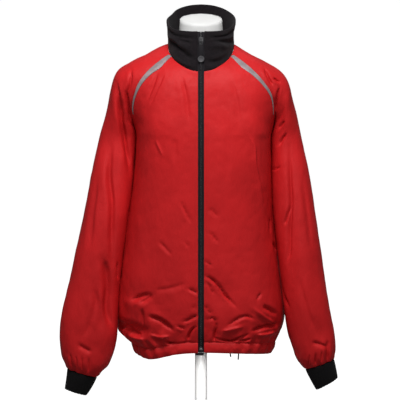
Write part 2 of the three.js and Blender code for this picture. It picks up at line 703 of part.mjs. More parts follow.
// Sleeves: open between the raglan seams above the armpit, a closed tube below it
const sleeves = {};
for (const side of Object.keys(SIDES)) {
  const cloth = new Cloth();
  const rows = [];
  for (const t of evenly(ARM_ROWS)) {
    const tight = t < 1 ? SEAM_GAP / 2 / (3 * sleeveReach(t)) : 0;
    const row = evenly(SLEEVE_COLUMNS).map((k) => {
      const s = lerp(tight, 2 - tight, k);
      const p = sleeveTop(side, t, s);
      const free = s < 1 ? smoothstep(t, SLEEVE_FOLDS.from, SLEEVE_FOLDS.to) : 0;
      return [p, foldPush("sleeve", p) * free];
    });
    if (t === 1) row.pop();
    const numbers = row.map(([p, push]) => cloth.point(p, push));
    if (t === 1) numbers.push(numbers[0]);
    rows.push(numbers);
  }
  const seam = CUFF_SEAM_Z[side];
  const gatherTop = seam + GATHER_STEPS.at(-1);
  const heights = [
    ...evenly(SLEEVE_ROWS)
      .slice(1)
      .map((k) => lerp(ARM[side][0].z, gatherTop, k)),
    ...GATHER_STEPS.slice(0, -1)
      .reverse()
      .map((step) => seam + step),
  ];
  const waves = GATHERS.cuff.count * WAVE_COLUMNS;
  for (const z of heights) {
    const count = z < gatherTop ? waves : SLEEVE_COLUMNS;
    const numbers = evenly(count)
      .slice(0, -1)
      .map((k) => {
        const p = armRing(side, z, 2 * k);
        const free = smoothstep(z - seam, SLEEVE_FOLDS.cuffFrom, SLEEVE_FOLDS.cuffTo);
        const { depth, length, turn } = SLEEVE_BACK_WAVE;
        const behind = depth * Math.sin(z / length + k * turn) * Math.sin(2 * Math.PI * k);
        const fold = k > 0.5 ? behind : foldPush("sleeve", p);
        return cloth.point(p, fold * free + gatherPush("cuff", k, z - seam));
      });
    rows.push([...numbers, numbers[0]]);
  }
  cloth.fillAll(rows);
  cloth.faceAwayFrom(new THREE.Vector3(SIDES[side] * 225, -20, 450));
  sleeves[side] = { cloth, rows };
  add(`sleeve_${side}`, cloth.wall(CLOTH_WALL), FINISH.shell);
}

// Stand collar, one piece from zip edge round the back to zip edge
function collarPoint(side, angle, up) {
  const a = degToRad(angle);
  const { from, to } = COLLAR_WAIST;
  const waist = COLLAR_WAIST[side] * Math.sin(Math.PI * up) * smoothstep(angle, from, to);
  const offPinch = (angle - RIM_PINCH.angle) / RIM_PINCH.width;
  const pinch = side === RIM_PINCH.side ? RIM_PINCH.depth * up * up * Math.exp(-(offPinch ** 2)) : 0;
  const width = lerp(NECK.width, RIM.width, up) - waist - pinch;
  const depth = lerp(NECK.depth, RIM.depth, up) - waist;
  const y = lerp(NECK.y, RIM.y, up) - depth * Math.cos(a);
  const z = lerp(seamZ(angle) + 2 * SEAM_GAP, rimZ(angle), up);
  return new THREE.Vector3(SIDES[side] * width * Math.sin(a), y, z);
}

const collar = new Cloth();
const zipAngle = THREE.MathUtils.radToDeg(Math.asin(ZIP_HALF / NECK.width));
collar.fillAll(
  evenly(COLLAR_ROWS).map((up) =>
    evenly(COLLAR_COLUMNS).map((k) => {
      const angle = lerp(zipAngle, 360 - zipAngle, k);
      const side = angle < 180 ? "left" : "right";
      const p = collarPoint(side, angle < 180 ? angle : 360 - angle, up);
      if (k === 0 || k === 1) p.x = Math.sign(p.x) * ZIP_HALF;
      return collar.point(p, 0);
    }),
  ),
);
collar.faceAwayFrom(new THREE.Vector3(0, 0, 870));
add("collar", collar.wall(COLLAR_WALL), FINISH.knit);

// Drawn hem: a folded casing all round, from zip edge to zip edge
const casing = new Cloth();
const casingSpans = [
  { face: "front", side: "left", from: ZIP_SHARE, to: 1 },
  { face: "back", side: "left", from: 1, to: 0 },
  { face: "back", side: "right", from: 0, to: 1 },
  { face: "front", side: "right", from: 1, to: ZIP_SHARE },
];
casing.fillAll(
  CASING_ROWS.map(({ down, puff, gather, width }) => {
    const row = [];
    casingSpans.forEach(({ face, side, from, to }, span) => {
      const waves = GATHERS[face].count * 3;
      evenly(waves).forEach((k) => {
        if (span > 0 && k === 0) return;
        const s = lerp(from, to, k);
        const p = torsoPoint(face, side, 0, s);
        if (face === "back" || s >= CASING_STRAIGHT) p.x *= width;
        p.z -= 1.6 * SEAM_GAP + down * CASING_HEIGHT;
        const atZip = (span === 0 && k === 0) || (span === 3 && k === 1);
        if (atZip) p.x = SIDES[side] * ZIP_HALF;
        row.push(casing.point(p, puff + gatherPush(face, s, 0) * gather));
      });
    });
    return row;
  }),
);
casing.faceAwayFrom(new THREE.Vector3(0, 0, 165));
add("hem_casing", casing.wall(CASING_WALL), FINISH.shell);

// Ribbed cuffs: ribs on the outside over a plain inside
for (const side of Object.keys(SIDES)) {
  const top = CUFF_SEAM_Z[side] - 2 * SEAM_GAP;
  const end = CUFF_END_Z[side];
  const cloth = new Cloth();
  const ring = (z, count, rise) => {
    const centre = new THREE.Vector3();
    const raw = evenly(count)
      .slice(0, -1)
      .map((k) => armRing(side, z, 2 * k));
    raw.forEach((p) => centre.addScaledVector(p, 1 / count));
    const numbers = raw.map((p, i) => {
      const away = p.clone().sub(centre).setZ(0).normalize();
      return cloth.point(p.addScaledVector(away, rise(i)));
    });
    return [...numbers, numbers[0]];
  };
  const levels = [end, lerp(end, top, RIB.middle), top];
  const rib = (i) => (i % 2 ? RIB.groove : RIB.stands);
  const outerRows = levels.map((z) => ring(z, CUFF_RIBS * 2, rib));
  const innerRows = levels.map((z) => ring(z, CUFF_RIBS / 2, () => RIB.inner - CUFF_WALL));
  cloth.fillAll(outerRows);
  cloth.fillAll([...innerRows].reverse());
  cloth.fill(innerRows[0], outerRows[0]);
  cloth.fill(outerRows[2], innerRows[2]);
  if (side === "right") cloth.triangles = cloth.triangles.map(([a, b, c]) => [a, c, b]);
  add(`cuff_${side}`, solid(cloth.points, cloth.triangles), FINISH.knit);
}

/** A narrow strip laid on the cloth: rows of outer points, moved out along one normal each. */
function trim(name, rows, inside, finish) {
  const cloth = new Cloth();
  const numbered = rows.map((row) => row.map((p) => cloth.point(p)));
  cloth.fillAll(numbered);
  cloth.faceAwayFrom(inside);
  const normals = cloth.normals(cloth.points);
  cloth.points = cloth.points.map((p, i) =>
    p.clone().addScaledVector(normals[i], TRIM_LIFT + TRIM_WALL),
  );
  add(name, cloth.wall(TRIM_WALL), finish);
}

// Piping over each front raglan seam, made from the points on both sides of it
const pipingWidth = reader(PIPING, "t", "width");
const chest = new THREE.Vector3(0, 0, 700);
for (const side of Object.keys(SIDES)) {
  const torso = fronts[side];
  const torsoPoints = torso.cloth.draped();
  const sleeve = sleeves[side];
  const sleevePoints = sleeve.cloth.draped();
  const strip = [];
  evenly(ARM_ROWS).forEach((t, k) => {
    if (t > PIPING.at(-1).t) return;
    const half = pipingWidth(t) / 2;
    const bodyRow = torso.rows[torso.rows.length - 1 - k];
    const armRow = sleeve.rows[k];
    const [edge, inward] = [bodyRow.at(-1), bodyRow.at(-2)].map((i) => torsoPoints[i]);
    const [start, outward] = [armRow[0], armRow[1]].map((i) => sleevePoints[i]);
    const along = (from, to) =>
      from.clone().lerp(to, Math.min(half / from.distanceTo(to), 1));
    const middle = edge.clone().lerp(start, 0.5);
    strip.push([along(edge, inward), middle, along(start, outward)]);
  });
  if (strip[0][0].z > neckPoint(side, FRONT_JOIN).z - PIPING_TOP.near) {
    strip[0] = strip[0].map((p, i) => p.clone().lerp(strip[1][i], PIPING_TOP.back));
  }
  trim(`piping_${side}`, strip, chest, FINISH.reflective);
}

// Closed pocket zips, set into the fronts beside the side seams
for (const side of Object.keys(SIDES)) {
  const strip = evenly(POCKET_ZIP.rows).map((k) => {
    const z = lerp(POCKET_ZIP.low, POCKET_ZIP.high, k);
    const share = (z - CASING_TOP.side) / bodyHeight;
    return [0, 1, 2].map((i) => {
      const s = 1 - (POCKET_ZIP.inset + ((i - 1) * POCKET_ZIP.width) / 2) / POCKET_ZIP.girth;
      const p = torsoPoint("front", side, share, s);
      const level = new THREE.Vector3(p.x, p.y * POCKET_ZIP.squared, 0).normalize();
      return p.addScaledVector(level, Math.max(foldPush("front", p), 0));
    });
  });
  trim(`pocket_zip_${side}`, strip, chest, FINISH.tape);
}

// Front zip: two tapes under the front edges, each with half of the chain on its inner edge
const zipBottom = ZIP_STRETCHES[0].from;
const zipHeights = [zipBottom];
for (const { from, to, step } of ZIP_STRETCHES) {
  const count = Math.round((to - from) / step);
  zipHeights.push(...evenly(count).slice(1).map((k) => lerp(from, to, k)));
}
const TAPE_COLUMNS = [
  { x: TAPE.inner, rise: TAPE.rise },
  { x: TAPE.chain, rise: TAPE.rise },
  { x: TAPE.flank, rise: 0 },
  { x: TAPE.outer, rise: 0 },
];
for (const side of Object.keys(SIDES)) {
  const points = [];
  const triangles = [];
  const across = TAPE_COLUMNS.length;
  for (const z of zipHeights) {
    const front = -depthAt.front(z) + TAPE.recess;
    for (const { x, rise } of TAPE_COLUMNS) {
      const bow = x === TAPE.outer ? TAPE.bow : 0;
      points.push(new THREE.Vector3(SIDES[side] * x, front - rise + bow, z));
    }
    for (const { x } of TAPE_COLUMNS) {
      const bow = x === TAPE.outer ? TAPE.bow : 0;
      points.push(new THREE.Vector3(SIDES[side] * x, front + TRIM_WALL + bow, z));
    }
  }
  const stride = across * 2;
  const loop = [0, 1, 2, 3, 7, 6, 5, 4];
  for (let k = 0; k < zipHeights.length - 1; k += 1) {
    for (let i = 0; i < loop.length; i += 1) {
      const a = k * stride + loop[i];
      const b = k * stride + loop[(i + 1) % loop.length];
      triangles.push([a, b, b + stride], [a, b + stride, a + stride]);
    }
  }
  const top = (zipHeights.length - 1) * stride;
  for (let i = 0; i < across - 1; i += 1) {
    triangles.push([i, i + across, i + 1], [i + 1, i + across, i + across + 1]);
    triangles.push([top + i, top + i + 1, top + i + across]);
    triangles.push([top + i + 1, top + i + across + 1, top + i + across]);
  }
  const facing = side === "left" ? triangles : triangles.map(([a, b, c]) => [a, c, b]);
  add(`zip_tape_${side}`, solid(points, facing), FINISH.tape);
}

/** A block with its vertical edges rounded, centred on its place. */
function block(width, depth, height, radius) {
  const shape = new THREE.Shape();
  const x = width / 2;
  const z = height / 2;
  shape.moveTo(-x + radius, -z);
  shape.lineTo(x - radius, -z);
  shape.absarc(x - radius, -z + radius, radius, -Math.PI / 2, 0);
  shape.absarc(x - radius, z - radius, radius, 0, Math.PI / 2);
  shape.absarc(-x + radius, z - radius, radius, Math.PI / 2, Math.PI);
  shape.absarc(-x + radius, -z + radius, radius, Math.PI, 1.5 * Math.PI);
  const options = { depth, bevelEnabled: false, curveSegments: 3 };
  return new THREE.ExtrudeGeometry(shape, options).translate(0, 0, -depth / 2).rotateX(Math.PI / 2);
}

const retainer = block(RETAINER.width, RETAINER.depth, RETAINER.height, RETAINER.corner);
const retainerY = TAPE.recess - depthAt.front(zipBottom) - RETAINER_FORWARD;
retainer.translate(RETAINER.x, retainerY, zipBottom - RETAINER.drop - RETAINER.height / 2);
add("zip_retainer", retainer, FINISH.rubber);

// Slider and pull stand on the chain, square to the slope of the zip
const chainFront = -depthAt.front(SLIDER.z) + TAPE.recess - TAPE.rise;
const slope = Math.atan2(depthAt.front(SLIDER.z - 20) - depthAt.front(SLIDER.z + 20), 40);
const zipHead = new THREE.Group();
zipHead.position.set(0, chainFront, SLIDER.z);
zipHead.rotation.x = -slope;
jacket.add(zipHead);

/** A flat rectangular ring or plate, standing upright across the zip. */
function plate(width, height, thick, hole) {
  const shape = new THREE.Shape();
  const [x, z] = [width / 2, height / 2];
  shape.moveTo(-x, -z).lineTo(x, -z).lineTo(x, z).lineTo(-x, z).closePath();
  if (hole) {
    const cut = new THREE.Path();
    const [hx, hz] = [hole.width / 2, hole.height / 2];
    cut.moveTo(-hx, -hz).lineTo(-hx, hz).lineTo(hx, hz).lineTo(hx, -hz).closePath();
    shape.holes.push(cut);
  }
  const options = { depth: thick, bevelEnabled: false };
  return new THREE.ExtrudeGeometry(shape, options).translate(0, 0, -thick / 2).rotateX(Math.PI / 2);
}

const wasm = await Module();
wasm.setup();

/** Joins closed pieces into one. */
function join(...geometries) {
  const solids = geometries.map((geometry) => {
    const bare = geometry.clone().deleteAttribute("normal").deleteAttribute("uv");
    const merged = mergeVertices(bare, 1e-4);
    const vertProperties = new Float32Array(merged.attributes.position.array);
    const triVerts = new Uint32Array(merged.index.array);
    return new wasm.Manifold(new wasm.Mesh({ numProp: 3, vertProperties, triVerts }));
  });
  const mesh = solids.reduce((all, one) => all.add(one)).getMesh();
  const joined = new THREE.BufferGeometry();
  joined.setAttribute("position", new THREE.BufferAttribute(mesh.vertProperties, 3));
  joined.setIndex(new THREE.BufferAttribute(mesh.triVerts, 1));
  joined.computeVertexNormals();
  return joined;
}

const faceY = -SLIDER.gap - SLIDER.depth;
const sliderFace = block(SLIDER.width, SLIDER.depth, SLIDER.height, SLIDER.corner);
sliderFace.translate(0, -SLIDER.gap - SLIDER.depth / 2, 0);
const archReach = BRIDGE.stands + BRIDGE.sunk;
const archY = faceY + BRIDGE.sunk - archReach / 2;
const arch = plate(archReach, BRIDGE.tall, BRIDGE.wide, {
  width: archReach - 2 * BRIDGE.bar,
  height: BRIDGE.tall - 2 * BRIDGE.bar,
});
arch.rotateZ(Math.PI / 2).translate(0, archY, 0);
add("zip_slider", join(sliderFace, arch), FINISH.metal, zipHead);

const pull = new THREE.Group();
const archFloor = -BRIDGE.tall / 2 + BRIDGE.bar;
pull.position.set(0, archY, archFloor + PULL.bar * Math.SQRT1_2 + SEAM_GAP);
pull.rotation.x = degToRad(PULL.lean);
zipHead.add(pull);
const eyeHole = { width: PULL.eye - 2 * PULL.bar, height: PULL.eyeTall - 2 * PULL.bar };
const eye = plate(PULL.eye, PULL.eyeTall, PULL.bar, eyeHole);
const eyeLow = PULL.bar / 2 - PULL.eyeTall;
add("pull_eye", eye.translate(0, 0, PULL.bar / 2 - PULL.eyeTall / 2), FINISH.metal, pull);
const strap = plate(PULL.strip, PULL.length, PULL.thick);
const strapLow = eyeLow - SEAM_GAP - PULL.length;
add("pull_strap", strap.translate(0, 0, strapLow + PULL.length / 2), FINISH.rubber, pull);
const buttonRadius = BUTTON.diameter / 2;
const button = new THREE.CylinderGeometry(buttonRadius, buttonRadius, BUTTON.thick, 24);
button.translate(0, 0, strapLow - SEAM_GAP - buttonRadius);
add("pull_button", button, FINISH.button, pull);

/** The share of the way round a front at which its hem reaches a given x. */
function shareAtX(side, x) {
  let s = 0;
  while (Math.abs(torsoPoint("front", side, 0, s).x) < x && s < 1) s += 0.005;
  return s;
}

// Drawcord ends leave the inside of the casing, turn down and hang
for (const [i, { x, tip, turn, clear }] of CORD_ENDS.entries()) {
  const s = shareAtX("left", x);
  const hem = torsoPoint("front", "left", 0, s);
  const outside = hem.y - gatherPush("front", s, 0) * CORD_EXIT.gather - CORD_EXIT.puff;
  const inside = outside + CASING_WALL + clear;
  const turning = inside + CORD_EXIT.run;
  const points = [inside, (inside + turning) / 2, turning].map(
    (y) => new THREE.Vector3(x, y, CORD.exitZ),
  );
  for (const angle of [25, 50, 75]) {
    const a = degToRad(angle);
    const y = turning + CORD.bend * Math.sin(a);
    points.push(new THREE.Vector3(x, y, CORD.exitZ - CORD.bend * (1 - Math.cos(a))));
  }
  const down = CORD.exitZ - CORD.bend;
  for (const k of [0, 0.35, 0.7, 1]) {
    const sway = turn * CORD.sway * k * k;
    points.push(new THREE.Vector3(x + sway, turning + CORD.bend, lerp(down, tip, k)));
  }
  const section = new THREE.Shape();
  section.absarc(0, 0, CORD.diameter / 2, 0, 2 * Math.PI);
  const extrudePath = new THREE.CatmullRomCurve3(points);
  const options = { extrudePath, steps: 9, curveSegments: CORD.sides / 2, bevelEnabled: false };
  add(`drawcord_end_${i + 1}`, new THREE.ExtrudeGeometry(section, options), FINISH.cord);
}

// Dress form: a smooth torso with shoulders just under the cloth and a cut, leaning neck
const shoulderX = {
  right: reader(SHOULDER, "z", "right"),
  left: reader(SHOULDER, "z", "left"),
};
const shoulderSlope = degToRad(26);
const underShoulder = (CLOTH_WALL + FORM_CLEARANCE) / Math.sin(shoulderSlope);
const formRings = [
  ...FORM.map((row) => ({ ...row, right: row.width, left: row.width })),
  ...FORM_SHOULDER.map((row) => ({
    ...row,
    right: shoulderX.right(row.z) - underShoulder,
    left: shoulderX.left(row.z) - underShoulder,
  })),
  ...FORM_NECK.map((row) => ({ ...row, right: row.width, left: row.width })),
];
const form = new Cloth();
const formRows = formRings.map(({ z, right, left, front, back: rear }, level) => {
  const lean = level === formRings.length - 1 ? Math.tan(degToRad(FORM_CAP_TILT)) : 0;
  const row = evenly(FORM_SIDES)
    .slice(0, -1)
    .map((k) => {
      const a = 2 * Math.PI * k;
      const x = Math.cos(a) * (Math.cos(a) > 0 ? left : right);
      const y = Math.sin(a) * (Math.sin(a) > 0 ? rear : front);
      return form.point(new THREE.Vector3(x, FORM_Y + y, z + y * lean));
    });
  return [...row, row[0]];
});
form.fillAll(formRows);
const capTop = form.point(new THREE.Vector3(0, FORM_Y, FORM_NECK.at(-1).z + 1.5));
const capBottom = form.point(new THREE.Vector3(0, FORM_Y, FORM[0].z));
for (let i = 0; i < FORM_SIDES; i += 1) {
  form.triangles.push([formRows.at(-1)[i], formRows.at(-1)[i + 1], capTop]);
  form.triangles.push([formRows[0][i + 1], formRows[0][i], capBottom]);
}
form.faceAwayFrom(new THREE.Vector3(0, FORM_Y, 500));
add("form_torso", solid(form.points, form.triangles), FINISH.form);

const poleLength = FORM[0].z - BASE.height - 2 * SEAM_GAP;
const pole = new THREE.CylinderGeometry(POLE.radius, POLE.radius, poleLength, POLE.sides);
const poleZ = BASE.height + SEAM_GAP + poleLength / 2;
add("stand_pole", pole.rotateX(Math.PI / 2).translate(0, FORM_Y, poleZ), FINISH.stand);

const baseProfile = new THREE.Path();
baseProfile.moveTo(0, 0);
baseProfile.lineTo(BASE.radius - BASE.foot, 0);
baseProfile.lineTo(BASE.radius, BASE.foot);
baseProfile.lineTo(BASE.radius, BASE.height - BASE.edge);
baseProfile.absarc(BASE.radius - BASE.edge, BASE.height - BASE.edge, BASE.edge, 0, Math.PI / 2);
baseProfile.lineTo(0, BASE.height);
const base = new THREE.LatheGeometry(baseProfile.getPoints(3), BASE.sides);
add("stand_base", base.rotateX(Math.PI / 2), FINISH.stand);

export default jacket;
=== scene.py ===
"""Looks of a zipped raglan track jacket on a limbless dress form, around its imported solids.

Metres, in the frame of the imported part: +X to the wearer's left, -Y the front, +Z up.
"""

import logging
import math
from dataclasses import dataclass
from enum import Enum
from typing import Optional, Sequence, Union

import bmesh
import bpy
import numpy as np
from mathutils import Matrix, Vector, noise
from mathutils.bvhtree import BVHTree
from mathutils.kdtree import KDTree


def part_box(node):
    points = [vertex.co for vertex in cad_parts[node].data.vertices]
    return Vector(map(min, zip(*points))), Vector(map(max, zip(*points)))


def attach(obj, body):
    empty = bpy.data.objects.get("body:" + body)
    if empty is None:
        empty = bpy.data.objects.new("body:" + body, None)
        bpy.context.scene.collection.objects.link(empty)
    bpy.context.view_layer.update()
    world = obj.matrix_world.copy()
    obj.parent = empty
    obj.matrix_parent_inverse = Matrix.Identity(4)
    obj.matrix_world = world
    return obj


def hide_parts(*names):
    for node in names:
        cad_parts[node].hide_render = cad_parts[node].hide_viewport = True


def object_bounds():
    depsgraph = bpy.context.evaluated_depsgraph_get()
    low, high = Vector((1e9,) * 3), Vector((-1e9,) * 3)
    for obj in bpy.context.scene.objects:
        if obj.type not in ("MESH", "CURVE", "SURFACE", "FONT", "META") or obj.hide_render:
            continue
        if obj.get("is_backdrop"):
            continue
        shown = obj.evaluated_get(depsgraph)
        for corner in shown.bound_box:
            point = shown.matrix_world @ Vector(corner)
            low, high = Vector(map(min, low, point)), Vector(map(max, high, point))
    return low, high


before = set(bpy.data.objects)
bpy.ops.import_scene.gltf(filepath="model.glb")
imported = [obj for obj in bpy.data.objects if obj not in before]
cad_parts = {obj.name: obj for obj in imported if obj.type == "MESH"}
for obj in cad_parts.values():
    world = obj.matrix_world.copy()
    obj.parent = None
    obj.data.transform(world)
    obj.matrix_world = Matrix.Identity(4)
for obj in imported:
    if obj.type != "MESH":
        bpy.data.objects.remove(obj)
CAD_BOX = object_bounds()

LOG = logging.getLogger("jacket")
MM = 0.001
JACKET = "jacket"
PULL = "pull"
DOUBLES = 0.02 * MM

Colour = tuple[float, float, float]
Place = tuple[float, float]


class Side(Enum):
    """The wearer's side that a piece is on, with the sign of its X."""

    RIGHT = -1
    LEFT = 1

    @property
    def word(self) -> str:
        """The side as it stands in a node's name."""
        return self.name.lower()


class Held(Enum):
    HUNG = "hung"
    GATHERED = "gathered"
    STRETCHED = "stretched"
    LAID = "laid"


# --- the photograph's view -------------------------------------------------------------------


@dataclass(frozen=True)
class PhotoView:
    """The camera at the photograph's angle, and where it puts a point in the picture."""

    distance: float = 8.0
    pitch: float = math.radians(6)
    aim_height: float = 0.497
    aim_x: float = -0.0023
    lens: float = 313.0
    sensor: float = 36.0
    pixels: int = 400

    @property
    def eye(self) -> Vector:
        """Where the camera stands."""
        back = self.distance * math.cos(self.pitch)
        return Vector((self.aim_x, -back, self.aim_height + self.distance * math.sin(self.pitch)))

    def make_camera(self) -> bpy.types.Object:
        """Makes the scene's camera.

        Returns:
            The camera object.
        """
        data = bpy.data.cameras.new("photo_camera")
        data.lens = self.lens
        data.sensor_width = self.sensor
        data.clip_end = 200
        camera = bpy.data.objects.new("photo_camera", data)
        camera.location = self.eye
        camera.rotation_euler = (math.pi / 2 - self.pitch, 0, 0)
        bpy.context.scene.collection.objects.link(camera)
        bpy.context.scene.camera = camera
        return camera

    def picture_places(self, points: np.ndarray) -> np.ndarray:
        """Projects points into the 400 by 400 picture.

        Args:
            points: Places in the row frame, one per row.

        Returns:
            Picture places, right and down from the top left corner.
        """
        away = points - np.array(self.eye)
        sine, cosine = math.sin(self.pitch), math.cos(self.pitch)
        depth = away[:, 1] * cosine - away[:, 2] * sine
        up = away[:, 1] * sine + away[:, 2] * cosine
        scale = self.lens / self.sensor * self.pixels / depth
        middle = self.pixels / 2
        return np.stack([middle + away[:, 0] * scale, middle - up * scale], axis=1)


VIEW = PhotoView()


# --- shader expressions ----------------------------------------------------------------------

Amount = Union["Socket", float]


@dataclass(frozen=True)
class Socket:
    """An output of a shader node that takes part in Python arithmetic."""

    graph: "Graph"
    output: bpy.types.NodeSocket

    def math(self, operation: str, *others: Amount) -> "Socket":
        """Adds a Math node with this value first."""
        values = dict(enumerate((self, *others)))
        return self.graph.add("ShaderNodeMath", {"operation": operation}, values)

    def turned(self, operation: str, first: Amount) -> "Socket":
        """Adds a Math node with this value second."""
        return self.graph.add("ShaderNodeMath", {"operation": operation}, {0: first, 1: self})

    def __add__(self, other: Amount) -> "Socket":
        """Sum."""
        return self.math("ADD", other)

    def __radd__(self, other: Amount) -> "Socket":
        """Sum, number first."""
        return self.math("ADD", other)

    def __sub__(self, other: Amount) -> "Socket":
        """Difference."""
        return self.math("SUBTRACT", other)

    def __rsub__(self, other: Amount) -> "Socket":
        """Difference, number first."""
        return self.turned("SUBTRACT", other)

    def __mul__(self, other: Amount) -> "Socket":
        """Product."""
        return self.math("MULTIPLY", other)

    def __rmul__(self, other: Amount) -> "Socket":
        """Product, number first."""
        return self.math("MULTIPLY", other)

    def __truediv__(self, other: Amount) -> "Socket":
        """Quotient."""
        return self.math("DIVIDE", other)

    def __rtruediv__(self, other: Amount) -> "Socket":
        """Quotient, number first."""
        return self.turned("DIVIDE", other)

    def sine(self) -> "Socket":
        """Sine of the value in radians."""
        return self.math("SINE")

    def size(self) -> "Socket":
        """The value without its sign."""
        return self.math("ABSOLUTE")

    def between(self, low: float, high: float) -> "Socket":
        """A smooth 0 to 1 as the value goes from low to high."""
        settings = {"interpolation_type": "SMOOTHSTEP"}
        values = {"Value": self, "From Min": low, "From Max": high}
        return self.graph.add("ShaderNodeMapRange", settings, values)


class Graph:
    """One material's node tree round its Principled shader."""

    def __init__(self, material: bpy.types.Material) -> None:
        """Starts from a new material.

        Args:
            material: The material whose nodes are filled in.
        """
        material.use_nodes = True
        self.tree = material.node_tree
        self.shader = self.tree.nodes["Principled BSDF"]

    def set(self, node: bpy.types.Node, values: dict) -> None:
        """Gives a node's sockets their links or values.

        Args:
            node: The node.
            values: Sockets by name or number, with a Socket or a plain value for each.
        """
        for key, value in values.items():
            if isinstance(value, Socket):
                self.tree.links.new(value.output, node.inputs[key])
            else:
                node.inputs[key].default_value = value

    def add(
        self,
        kind: str,
        settings: Optional[dict] = None,
        values: Optional[dict] = None,
        output: Union[int, str] = 0,
    ) -> Socket:
        """Adds any node.

        Args:
            kind: The node's type.
            settings: Its settings, with "stops" for the places and colours of a ramp.
            values: The values or links of its sockets.
            output: Which output is given back.

        Returns:
            The chosen output.
        """
        node = self.tree.nodes.new(kind)
        for key, value in (settings or {}).items():
            if key == "stops":
                ramp = node.color_ramp.elements
                while len(ramp) < len(value):
                    ramp.new(1.0)
                for element, (where, colour) in zip(ramp, value):
                    element.position, element.color = where, (*colour, 1)
            else:
                setattr(node, key, value)
        self.set(node, values or {})
        return Socket(self, node.outputs[output])

    def object_place(self, turn: Colour = (0, 0, 0), scale: Colour = (1, 1, 1)) -> Socket:
        """The place on the piece, turned and scaled."""
        place = self.add("ShaderNodeTexCoord", output="Object")
        return self.add(
            "ShaderNodeMapping", None, {"Vector": place, "Rotation": turn, "Scale": scale}
        )

    def axes(self, place: Optional[Socket] = None) -> tuple[Socket, Socket, Socket]:
        """The three numbers of a place, or of the place on the piece."""
        place = place or self.add("ShaderNodeTexCoord", output="Object")
        node = self.tree.nodes.new("ShaderNodeSeparateXYZ")
        self.set(node, {0: place})
        return tuple(Socket(self, node.outputs[i]) for i in range(3))

    def noise(self, size: float, detail: float = 2.0, place: Optional[Socket] = None) -> Socket:
        """Noise whose features are about size metres across."""
        place = place or self.add("ShaderNodeTexCoord", output="Object")
        values = {"Vector": place, "Scale": 1 / size, "Detail": detail}
        return self.add("ShaderNodeTexNoise", None, values)

    def mixed(
        self, share: Amount, low: Union[Socket, Colour], high: Union[Socket, Colour]
    ) -> Socket:
        """A colour between two, by share."""

        def opaque(colour: Union[Socket, Colour]) -> Union[Socket, tuple]:
            return colour if isinstance(colour, Socket) else (*colour, 1)

        values = {0: share, 6: opaque(low), 7: opaque(high)}
        return self.add("ShaderNodeMix", {"data_type": "RGBA"}, values, output=2)

    def bump(self, height: Socket, depth: float, under: Optional[Socket] = None) -> Socket:
        """A normal that a height from 0 to 1, depth metres tall, disturbs."""
        values = {"Height": height, "Distance": depth, "Strength": 1.0}
        if under:
            values["Normal"] = under
        return self.add("ShaderNodeBump", None, values)


# --- finishes --------------------------------------------------------------------------------


def shade(colour: Colour, share: float) -> Colour:
    """A colour times a number."""
    return tuple(share * part for part in colour)


@dataclass(frozen=True)
class Finish:
    """What one material looks like."""

    name: str
    slot: str
    colour: Colour
    roughness: float

    def material(self) -> bpy.types.Material:
        """The finish as a material, made once."""
        found = bpy.data.materials.get(self.name)
        if found is None:
            found = bpy.data.materials.new(self.name)
            graph = Graph(found)
            graph.set(graph.shader, {"Roughness": self.roughness})
            self.dress(graph)
        return found

    def dress(self, graph: Graph) -> None:
        """Fills the nodes in."""
        raise NotImplementedError


@dataclass(frozen=True)
class WovenShell(Finish):
    """Thin plain-weave shell cloth with fine crush marks."""

    thread: float = 0.75 * MM
    crush: float = 0.5 * MM
    gloss: float = 0.14

    def dress(self, graph: Graph) -> None:
        """Colour drifts a little, threads cross, and fine crumples catch the light."""
        x, y, z = graph.axes()
        turn = 2 * math.pi / self.thread
        warp = ((x - y * 0.6) * turn).sine()
        weft = (z * turn).sine()
        weave = (warp * weft) * 0.5 + 0.5
        drift = graph.noise(90 * MM, 3)
        flecks = graph.noise(1.3 * MM, 1)
        tone = (drift * 0.7 + flecks * 0.3).between(0.3, 0.72)
        colour = graph.mixed(tone, shade(self.colour, 0.9), shade(self.colour, 1.1))
        fine = graph.noise(7 * MM, 4, graph.object_place(scale=(1.0, 1.0, 0.55)))
        broad = graph.noise(26 * MM, 3, graph.object_place(scale=(1.0, 1.0, 0.6)))
        crumpled = graph.bump(broad, 2.2 * self.crush)
        crumpled = graph.bump(fine, self.crush, crumpled)
        woven = graph.bump(weave, 0.03 * MM, crumpled)
        graph.set(
            graph.shader,
            {
                "Base Color": colour,
                "Roughness": weave * 0.06 + (self.roughness - 0.03),
                "Normal": woven,
                "Specular IOR Level": self.gloss,
            },
        )


@dataclass(frozen=True)
class BrushedFleece(Finish):
    """Matt brushed fleece, with short soft nap in small tufts."""

    def dress(self, graph: Graph) -> None:
        """Nap in two sizes roughens the light; the colour follows its height, with painted light on
        the tips and painted shade in the hollows.
        """
        nap = graph.noise(1.1 * MM, 5)
        tufts = graph.noise(5 * MM, 3)
        height = nap * 0.65 + tufts * 0.35
        # Painted light and shade: the colour is lighter on the nap's raised tips and darker in its
        # hollows, from the same height as the bump.
        nap_painted_light = height.between(0.4, 0.7)
        colour = graph.mixed(nap_painted_light, shade(self.colour, 0.65), shade(self.colour, 1.55))
        graph.set(
            graph.shader,
            {
                "Base Color": colour,
                "Normal": graph.bump(height, 0.8 * MM),
                "Sheen Weight": 0.05,
                "Sheen Roughness": 0.6,
                "Specular IOR Level": 0.1,
            },
        )


